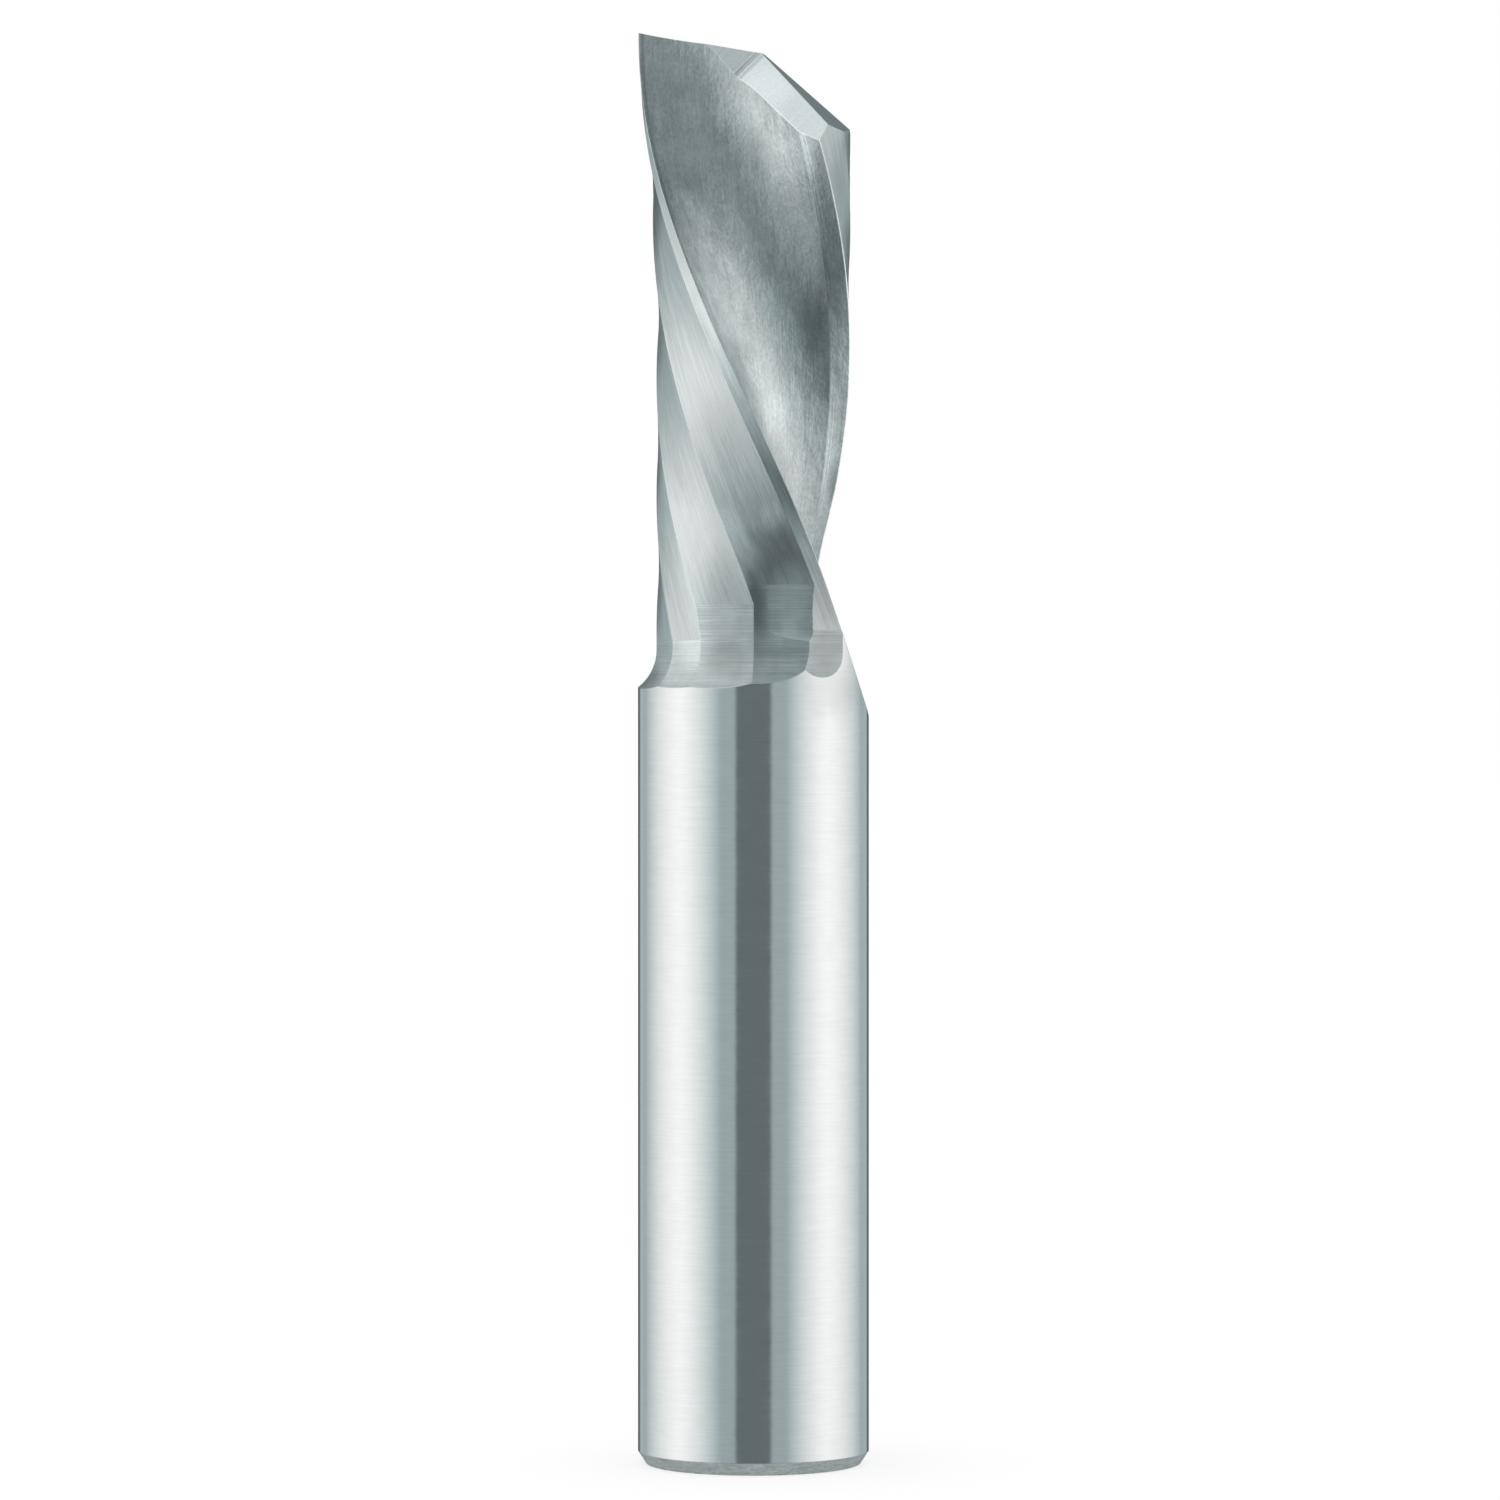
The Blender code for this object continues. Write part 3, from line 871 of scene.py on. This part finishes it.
    def roughen(self, value, low, high):
        """Let the roughness go from low to high, by a value from 0 to 1."""
        self.set("Roughness", self.spread(value, 0.0, 1.0, low, high))


# The colours of the finishes. The end's dark colour is painted shade, and the gash's three
# lighter colours, one for each of its facets, are painted highlight
SHANK_COLOUR = (0.60, 0.625, 0.625)
CHAMFER_COLOUR = (0.31, 0.35, 0.35)
FLAT_COLOUR = (0.555, 0.595, 0.595)
FLUTE_COLOUR = (0.50, 0.54, 0.54)
END_COLOUR = (0.26, 0.30, 0.295)
GASH_COLOUR = (0.79, 0.81, 0.81)
GASH_RAKE_COLOUR = (0.70, 0.73, 0.73)
GASH_CORNER_COLOUR = (0.74, 0.77, 0.77)

# The sizes of lumps of noise, along x, y and z
SHANK_HAIRLINES = (0.004, 0.004, 0.00006)
SHANK_BANDS = (0.002, 0.002, 0.00010)
SHANK_CLOUDS = (0.0012, 0.0012, 0.0009)
CHAMFER_WAVES = (0.0005, 0.0005, 0.00014)

# The sizes of lumps of noise, across the grain and along it
FLAT_STREAKS = (0.00007, 0.006)
FLAT_CLOUDS = (0.0005, 0.0014)
RUN_OUT_LINES = (0.004, 0.00007)
RUN_OUT_BANDS = (0.01, 0.0004)
FLUTE_STREAKS = (0.00008, 0.004)
FLUTE_CLOUDS = (0.0006, 0.0012)
FLUTE_MOTTLE = (0.00016, 0.00022)
END_LINES = (0.00010, 0.0012)
GASH_STRIPES = (0.008, 0.00012)
GASH_MOTTLE = (0.00018, 0.00018)

# What is taken as the range of noise, and the part of it that makes bright hairlines
NOISE_RANGE = (0.25, 0.75)
BRIGHT_HAIRLINES = (0.65, 0.95)

# The wheel's relief in the gash: its least depth, and what full contrast adds
GASH_DEPTH = 0.000001
GASH_CONTRAST_DEPTH = 0.000008

# Worn, rounded edges: their radius, and how the cosine of their bend goes to the full painted highlight
# along them
EDGE_WEAR = 0.00006
EDGE_SAMPLES = 8
EDGE_HIGHLIGHT_BEND = (0.999, 0.985)
EDGE_HIGHLIGHT_TONE = 1.35
END_EDGE_HIGHLIGHT_TONE = 1.8
GASH_EDGE_HIGHLIGHT_TONE = 1.25

# This share of a full turn lets the gloss spread along the tool, not round it
QUARTER_TURN = 0.25

# Fine lines of the flute: their places, widths and tones, and where the heel's rises. The lines
# along the crease and the heel's line are painted highlights
EDGE_LINE = 0.00020
EDGE_LINE_WIDTH = 0.00016
EDGE_LINE_TONE = 0.72
CREASE_HIGHLIGHT_LINES = (0.00012, 0.00030)
CREASE_HIGHLIGHT_WIDTH = 0.00007
CREASE_HIGHLIGHT_TONE = 1.22
HEEL_LINE = 0.00003
HEEL_LINE_WIDTH = 0.00005
HEEL_HIGHLIGHT_TONE = 2.0
HEEL_LINE_HAZE = 0.6
HEEL_LINE_RISE = (0.0440, 0.0480)

# How soft patches fade, in half sizes, how ragged they are, and how far behind the
# axis they end: past that they would show on the back
PATCH_FADE = (1.35, 0.25)
RAGGED_SIZE = (0.0012, 0.0012, 0.0020)
RAGGED = 0.22
FRONT_FALL = 0.001
FLUTE_DEPTH = 0.0045

# Each patch has its place in x and z and its half width and half length, all in
# millimetres, its lean in degrees, and its tone, or in FLUTE_HAZE its share. The tones
# are painted highlight and painted shade, lighter and darker patches in place of reflections
MILLIMETRE = 0.001
FLUTE_PAINTED_SHADING = (
    (-4.65, 68.25, 0.83, 1.77, 15, 1.12),
    (1.80, 68.77, 1.46, 2.91, 10, 1.55),
    (-0.59, 70.23, 1.35, 1.87, 0, 1.20),
    (-2.78, 69.29, 1.04, 2.08, 0, 1.08),
    (-2.36, 61.91, 1.35, 4.37, 21, 1.28),
    (-1.11, 59.10, 1.25, 3.95, 20, 1.25),
    (1.80, 59.10, 1.04, 3.33, 16, 1.28),
    (0.76, 55.46, 1.66, 1.98, 10, 1.28),
    (3.62, 62.43, 0.47, 1.77, 5, 0.75),
    (3.62, 60.19, 0.47, 1.56, 0, 0.85),
    (0.24, 60.45, 0.73, 2.08, 15, 1.08),
    (2.01, 53.17, 1.87, 2.91, 12, 1.15),
    (1.38, 51.61, 0.62, 1.56, 12, 0.88),
    (3.72, 53.69, 0.62, 2.29, 5, 1.12),
    (3.05, 59.31, 0.94, 2.39, 5, 0.72),
    (4.97, 58.37, 0.62, 3.12, 0, 1.40),
    (4.40, 50.78, 0.52, 1.35, 0, 0.62),
    (3.67, 65.65, 0.47, 2.60, 8, 0.82),
    (-0.59, 63.83, 1.77, 2.29, 15, 1.10),
    (0.55, 67.47, 0.83, 1.25, 10, 0.88),
    (-0.18, 66.59, 0.94, 0.62, 0, 1.20),
)
FLUTE_HAZE = (
    (1.70, 69.19, 1.46, 2.70, 10, 0.38),
    (3.31, 53.27, 0.83, 3.12, 8, 0.12),
    (-2.20, 61.28, 1.46, 4.47, 21, 0.42),
    (-1.01, 58.58, 1.35, 3.64, 20, 0.26),
)
RELIEF_PAINTED_SHADING = (
    (-5.12, 64.51, 0.42, 2.18, 0, 0.55),
    (-5.17, 61.49, 0.47, 1.46, 0, 0.75),
    (-1.63, 53.69, 1.14, 2.08, 20, 0.88),
    (1.28, 47.35, 1.25, 1.46, 0, 0.74),
    (0.55, 45.99, 0.62, 1.14, 8, 0.78),
    (0.97, 48.91, 0.62, 0.83, 0, 1.25),
    (2.11, 45.68, 0.52, 1.25, 10, 1.20),
    (-0.07, 45.27, 0.47, 1.56, 8, 0.62),
    (-0.90, 47.14, 1.25, 2.39, 20, 1.35),
    (-2.78, 55.51, 2.08, 3.12, 20, 1.12),
)
RELIEF_RUN_OUT_PAINTED_SHADING = (
    (0.08, 44.64, 0.68, 1.87, 6, 0.56),
    (1.90, 44.54, 1.25, 1.77, 0, 1.35),
    (1.90, 42.35, 1.87, 1.35, 0, 1.32),
    (1.49, 41.99, 2.08, 0.31, 0, 0.86),
)
BACK_PAINTED_SHADING = (
    (-3.40, 46.93, 0.73, 6.24, 14, 1.15),
    (-2.57, 47.97, 0.62, 3.64, 14, 1.12),
    (-1.63, 45.63, 0.94, 2.08, 10, 0.84),
    (4.97, 68.46, 0.36, 1.25, 0, 0.74),
    (5.02, 63.36, 0.42, 1.25, 0, 0.70),
    (4.40, 66.69, 0.42, 2.08, 0, 0.85),
    (4.82, 70.02, 0.52, 0.62, 0, 1.10),
    (-5.01, 66.17, 0.31, 1.77, 0, 0.86),
    (-4.96, 57.75, 0.26, 1.46, 0, 0.86),
    (-5.01, 51.61, 0.26, 1.66, 0, 0.86),
    (-5.01, 44.85, 0.26, 2.08, 0, 0.88),
)
BACK_RUN_OUT_PAINTED_SHADING = (
    (-2.98, 42.98, 0.94, 2.08, 0, 1.25),
    (-5.38, 40.69, 0.73, 0.73, 0, 0.65),
    (-1.32, 41.73, 1.35, 0.94, 0, 0.80),
)
LAND_PAINTED_SHADING = (
    (-0.96, 58.37, 2.08, 4.16, 20, 1.30),
    (0.76, 53.17, 1.25, 2.08, 20, 1.20),
    (2.01, 50.05, 0.83, 2.08, 20, 0.80),
    (3.88, 44.85, 1.14, 2.29, 20, 0.80),
    (-5.48, 69.55, 0.42, 1.56, 0, 1.40),
)
LAND_RUN_OUT_PAINTED_SHADING = (
    (3.88, 42.51, 1.77, 1.35, 0, 0.80),
)
SHANK_PAINTED_SHADE = (
    (4.30, 40.17, 2.08, 1.56, 0, 0.88),
)
GASH_PAINTED_HIGHLIGHT = (
    (0.60, 71.37, 1.56, 1.77, -45, 1.12),
)


def shank_finish():
    """Ground and polished, with hairlines that run round the shank."""
    finish = Finish("shank", SHANK_COLOUR, 0.09)
    finish.texture(SHANK_HAIRLINES, 3.0, 0.7, depth=0.000001)
    finish.texture(SHANK_BANDS, 4.0, 0.7, tones=(0.94, 1.02))
    clouds = finish.texture(SHANK_CLOUDS, 4.0, depth=0.0000016, tones=(0.97, 1.02))
    finish.roughen(clouds, 0.07, 0.13)
    # A patch of painted shade on the shank, near the run-outs
    finish.paint_light_and_shade(SHANK_PAINTED_SHADE)
    return finish.material


def chamfer_finish():
    """Left from sintering, rough and wavy."""
    finish = Finish("chamfer", CHAMFER_COLOUR, 0.45)
    finish.set("Metallic", 0.0)
    finish.texture(CHAMFER_WAVES, 4.0, 0.65, 1.2, depth=0.00002, tones=(0.62, 1.40))
    return finish.material


def flat_finish(name, tones):
    """Ground by a wheel that goes along the helix."""
    finish = Finish(name, FLAT_COLOUR, 0.42, scatter=0.8)
    streaks = finish.texture(FLAT_STREAKS, 4.0, 0.7, depth=0.000003, tones=(0.80, 1.12))
    finish.tone(finish.step(streaks, *BRIGHT_HAIRLINES), 1.0, 1.12)
    clouds = finish.texture(FLAT_CLOUDS, 4.0, depth=0.000012, tones=(0.90, 1.08))
    finish.roughen(clouds, 0.36, 0.48)
    # Patches of painted highlight and painted shade
    finish.paint_light_and_shade(tones)
    # A painted highlight along the edges
    finish.paint_edge_highlights(EDGE_HIGHLIGHT_TONE)
    return finish.material


def run_out_finish(name, tones):
    """Ground across, as the wheel lifts out of the rod."""
    finish = Finish(name, FLAT_COLOUR, 0.44, scatter=0.8)
    lines = finish.texture(RUN_OUT_LINES, 4.0, 0.75, depth=0.000004, tones=(0.68, 1.22))
    finish.tone(finish.step(lines, *BRIGHT_HAIRLINES), 1.0, 1.25)
    finish.texture(RUN_OUT_BANDS, 3.0, tones=(0.90, 1.08))
    finish.texture(FLAT_CLOUDS, 4.0, tones=(0.94, 1.05))
    finish.roughen(lines, 0.40, 0.50)
    # Patches of painted highlight and painted shade
    finish.paint_light_and_shade(tones)
    # A painted highlight along the edges
    finish.paint_edge_highlights(EDGE_HIGHLIGHT_TONE)
    return finish.material


def flute_finish(name, edge_line=False, crease_highlights=False):
    """Ground by the flute wheel, with cloudy tone and fine scratches, patches of painted highlight and
    painted shade, and on the crease painted highlight lines.
    """
    finish = Finish(name, FLUTE_COLOUR, 0.42)
    finish.texture(FLUTE_STREAKS, 4.0, 0.7, depth=0.000003, tones=(0.82, 1.10))
    clouds = finish.texture(FLUTE_CLOUDS, 5.0, 0.6, depth=0.00003, tones=(0.82, 1.12))
    finish.texture(FLUTE_MOTTLE, 3.0, depth=0.000005, tones=(0.84, 1.09))
    finish.roughen(clouds, 0.36, 0.48)
    parts = finish.node("SeparateXYZ", Vector=finish.grain(1.0, 1.0)).outputs
    if edge_line:
        finish.tone(finish.line(parts["X"], EDGE_LINE, EDGE_LINE_WIDTH), 1.0, EDGE_LINE_TONE)
    heel_highlight = 0.0
    # Painted highlights: two light lines along the crease, and a bright line along the heel ridge higher up
    if crease_highlights:
        for place in CREASE_HIGHLIGHT_LINES:
            finish.tone(finish.line(parts["X"], place, CREASE_HIGHLIGHT_WIDTH), 1.0, CREASE_HIGHLIGHT_TONE)
        crease_width = (ridge(-FLUTE_WIDTH_ANGLE, BACK_RADIUS) - Vector(HEEL_CREASE)).length
        heel_line = finish.line(parts["X"], crease_width - HEEL_LINE, HEEL_LINE_WIDTH)
        heel_highlight = finish.math("MULTIPLY", heel_line, finish.step(parts["Y"], *HEEL_LINE_RISE))
        finish.tone(heel_highlight, 1.0, HEEL_HIGHLIGHT_TONE)
    # Patches of painted highlight and painted shade
    finish.paint_light_and_shade(FLUTE_PAINTED_SHADING, FLUTE_DEPTH)
    finish.haze(FLUTE_HAZE, finish.math("MULTIPLY", heel_highlight, HEEL_LINE_HAZE))
    # A painted highlight along the edges
    finish.paint_edge_highlights(EDGE_HIGHLIGHT_TONE)
    return finish.material


def end_finish():
    """Ground across the end, with small bright nicks."""
    finish = Finish("end", END_COLOUR, 0.35)
    finish.texture(END_LINES, 4.0, 0.7, depth=0.000004, tones=(0.50, 1.45))
    # A painted highlight along the edges
    finish.paint_edge_highlights(END_EDGE_HIGHLIGHT_TONE)
    return finish.material


def gash_finish(name, colour, contrast):
    """Ground in one plunge, with the wheel's stripes across it."""
    finish = Finish(name, colour, 0.33)
    depth = GASH_DEPTH + GASH_CONTRAST_DEPTH * contrast
    tones = (1.0 - contrast, 1.0 + contrast / 2)
    finish.texture(GASH_STRIPES, 2.0, depth=depth, tones=tones)
    finish.texture(GASH_MOTTLE, 4.0, tones=(0.93, 1.05))
    # A patch of painted highlight on the gash
    finish.paint_light_and_shade(GASH_PAINTED_HIGHLIGHT)
    # A painted highlight along the edges
    finish.paint_edge_highlights(GASH_EDGE_HIGHLIGHT_TONE)
    return finish.material


def make_finishes():
    """The finish of each kind of surface, by its name."""
    return {
        "shank": shank_finish(),
        "chamfer": chamfer_finish(),
        "land": flat_finish("land", LAND_PAINTED_SHADING),
        "land_run_out": run_out_finish("land_run_out", LAND_RUN_OUT_PAINTED_SHADING),
        "relief": flat_finish("relief", RELIEF_PAINTED_SHADING),
        "relief_run_out": run_out_finish("relief_run_out", RELIEF_RUN_OUT_PAINTED_SHADING),
        "back": flat_finish("back", BACK_PAINTED_SHADING),
        "back_run_out": run_out_finish("back_run_out", BACK_RUN_OUT_PAINTED_SHADING),
        "rake": flute_finish("rake", edge_line=True),
        "flute": flute_finish("flute"),
        "crease": flute_finish("crease", crease_highlights=True),
        "end": end_finish(),
        "gash": gash_finish("gash", GASH_COLOUR, 0.05),
        "gash_rake": gash_finish("gash_rake", GASH_RAKE_COLOUR, 0.10),
        "gash_corner": gash_finish("gash_corner", GASH_CORNER_COLOUR, 0.60),
    }


# The light tent, seen by reflections only. Bearings go from the front, where right is
# positive, climbs go up from level, and radiances are what a perfect mirror would show.
TENT_RADIUS = 0.8
TENT_SEGMENTS = 96
DEGREES = 180 / pi
BOX_BEARING = 78.7
BOX_RADIANCE = 1.526
BOX_REACH = 55.0
BOX_FALL_POWER = 1.5
BOX_INNER_FALL = 1.204 / BOX_REACH ** BOX_FALL_POWER
BOX_OUTER_FALL = 0.870 / BOX_REACH ** BOX_FALL_POWER
BOX_TOP = (17.0, 21.0)
SIDE_SHADE = 0.597
UPPER_LEFT = 1.11
UPPER_RIGHT = 0.375
UPPER_BACK = 0.487
UPPER_BACK_BEARINGS = (130.0, 160.0)
UPPER_SIDES = (-20.0, 20.0)
LOWER = 0.05
LOWER_CLIMB = (-3.0, -60.0)
FLOOR_CLIMB = (-48.0, -78.0)
FLOOR_RADIANCE = 0.55

# The dark cards of the tent, one at the back and one in front, and its top light
BACK_CARD_BEARINGS = (153.0, 160.0)
BACK_CARD_RADIANCE = 0.13
CARD_BEARINGS = (18.0, 17.0)
CARD_RADIANCE = 0.229
CARD_HIGH_RADIANCE = 0.477
CARD_LOW_RADIANCE = 0.187
CARD_CLIMB = 45.0
CARD_TOP = (70.6, 109.8)
FRONT_TOP_CLIMB = (54.4, 69.4)
FRONT_TOP_BEARINGS = (80.0, 40.0)
FRONT_TOP_RADIANCE = 0.912

# The tint of the tent where it is dim and where it is bright, and what counts as these
DIM_TINT = (0.885, 1.035, 1.055)
BRIGHT_TINT = (1.02, 0.994, 0.991)
TINT_RADIANCES = (0.55, 1.3)

# The floor and the world
FLOOR_SIZE = 12.0
FLOOR_ALBEDO = 0.35
FLOOR_GLOW = 0.68
WHITE = (1.0, 1.0, 1.0, 1.0)


def side_light(studio, bearing):
    """A soft box at each side, and a dark card at the back."""
    off_box = studio.math("SUBTRACT", bearing, BOX_BEARING)
    fall = studio.mix(studio.math("GREATER_THAN", off_box, 0.0), BOX_INNER_FALL, BOX_OUTER_FALL)
    distance = studio.math("POWER", studio.math("ABSOLUTE", off_box), BOX_FALL_POWER)
    light = studio.math("SUBTRACT", BOX_RADIANCE, studio.math("MULTIPLY", distance, fall))
    light = studio.math("MAXIMUM", light, SIDE_SHADE)
    return studio.mix(studio.spread(bearing, *BACK_CARD_BEARINGS), light, BACK_CARD_RADIANCE)


def upper_light(studio, turn, bearing):
    """The light above the boxes, which differs from left to right and to the back."""
    light = studio.mix(studio.step(turn, *UPPER_SIDES), UPPER_LEFT, UPPER_RIGHT)
    return studio.mix(studio.step(bearing, *UPPER_BACK_BEARINGS), light, UPPER_BACK)


def card_light(studio, climb):
    """The dark card in front, which is lighter high up and darker low down."""
    high = studio.spread(climb, 0.0, CARD_CLIMB, CARD_RADIANCE, CARD_HIGH_RADIANCE)
    low = studio.spread(climb, -CARD_CLIMB, 0.0, CARD_LOW_RADIANCE, 1.0)
    return studio.math("MINIMUM", high, low)


def tent_light(studio):
    """The tent's radiance: a soft box at each side, a top light and two dark cards."""
    source = studio.node("TexCoord").outputs["Object"]
    parts = studio.node("SeparateXYZ", Vector=source).outputs
    to_front = studio.math("MULTIPLY", parts["Y"], -1.0)
    turn = studio.math("MULTIPLY", studio.math("ARCTAN2", parts["X"], to_front), DEGREES)
    bearing = studio.math("ABSOLUTE", turn)
    climb = studio.math("ARCSINE", studio.math("DIVIDE", parts["Z"], TENT_RADIUS))
    climb = studio.math("MULTIPLY", climb, DEGREES)
    light = side_light(studio, bearing)
    light = studio.mix(studio.step(climb, *BOX_TOP), light, upper_light(studio, turn, bearing))
    light = studio.mix(studio.step(climb, *LOWER_CLIMB), light, LOWER)
    light = studio.mix(studio.step(climb, *FLOOR_CLIMB), light, FLOOR_RADIANCE)
    card = studio.math("SUBTRACT", 1.0, studio.step(climb, *CARD_TOP))
    card = studio.math("MULTIPLY", card, studio.spread(bearing, *CARD_BEARINGS))
    light = studio.mix(card, light, card_light(studio, climb))
    top = studio.step(climb, *FRONT_TOP_CLIMB)
    top = studio.math("MULTIPLY", top, studio.step(bearing, *FRONT_TOP_BEARINGS))
    return studio.mix(top, light, FRONT_TOP_RADIANCE)


def make_tent():
    """A tent round the tool, which only its reflections see."""
    form = bmesh.new()
    rows = TENT_SEGMENTS // 2
    bmesh.ops.create_uvsphere(form, u_segments=TENT_SEGMENTS, v_segments=rows, radius=TENT_RADIUS)
    tent = add_solid("light_tent", form, bpy.context.scene.collection)
    tent.location = (0.0, 0.0, OVERALL_LENGTH / 2)
    tent.visible_camera = False
    tent.visible_diffuse = False
    tent.visible_shadow = False
    tent.visible_transmission = False
    studio = Nodes("light_tent")
    light = tent_light(studio)
    tint = studio.mix_colours(studio.spread(light, *TINT_RADIANCES), DIM_TINT, BRIGHT_TINT)
    glow = studio.node("Emission", Color=tint, Strength=light)
    studio.tree.nodes.remove(studio.shader)
    studio.put(studio.tree.nodes["Material Output"].inputs["Surface"], glow.outputs[0])
    tent.data.materials.append(studio.material)


def make_floor():
    """A plain white floor that takes a soft shadow."""
    form = bmesh.new()
    bmesh.ops.create_grid(form, x_segments=1, y_segments=1, size=FLOOR_SIZE / 2)
    floor = add_solid("floor", form, bpy.context.scene.collection)
    floor.visible_glossy = False
    looks = Nodes("floor")
    looks.set("Base Color", (FLOOR_ALBEDO, FLOOR_ALBEDO, FLOOR_ALBEDO, 1.0))
    looks.set("Roughness", 1.0)
    looks.set("Specular IOR Level", 0.0)
    looks.set("Emission Color", WHITE)
    looks.set("Emission Strength", FLOOR_GLOW)
    floor.data.materials.append(looks.material)


def make_world():
    """A plain white world, which is the backdrop and the soft light."""
    world = bpy.data.worlds.new("studio")
    world.use_nodes = True
    background = world.node_tree.nodes["Background"]
    background.inputs["Color"].default_value = WHITE
    background.inputs["Strength"].default_value = 1.0
    bpy.context.scene.world = world


def make_camera():
    """A camera that stands level in front of the tool, as the photograph's does."""
    data = bpy.data.cameras.new("camera")
    data.sensor_width = CAMERA_SENSOR
    data.lens = CAMERA_SENSOR * -CAMERA_PLACE[1] / VIEW_WIDTH
    data.clip_start = CAMERA_CLIP_START
    camera = bpy.data.objects.new("camera", data)
    camera.location = CAMERA_PLACE
    camera.rotation_euler = (pi / 2, 0.0, 0.0)
    bpy.context.scene.collection.objects.link(camera)
    bpy.context.scene.camera = camera


make_camera()
make_world()
make_tent()
make_floor()
tool = Tool()
rod = tool.make_rod()
tool.make_relief_cutters()
tool.make_flute_cutter()
tool.make_end_cutters()
tool.make_gash_cutter()
end_mill = tool.ground(rod)
dress(end_mill, tool.surfaces, make_finishes())
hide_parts("end_mill")
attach(end_mill, "root")
bpy.context.scene.view_settings.view_transform = "Standard"
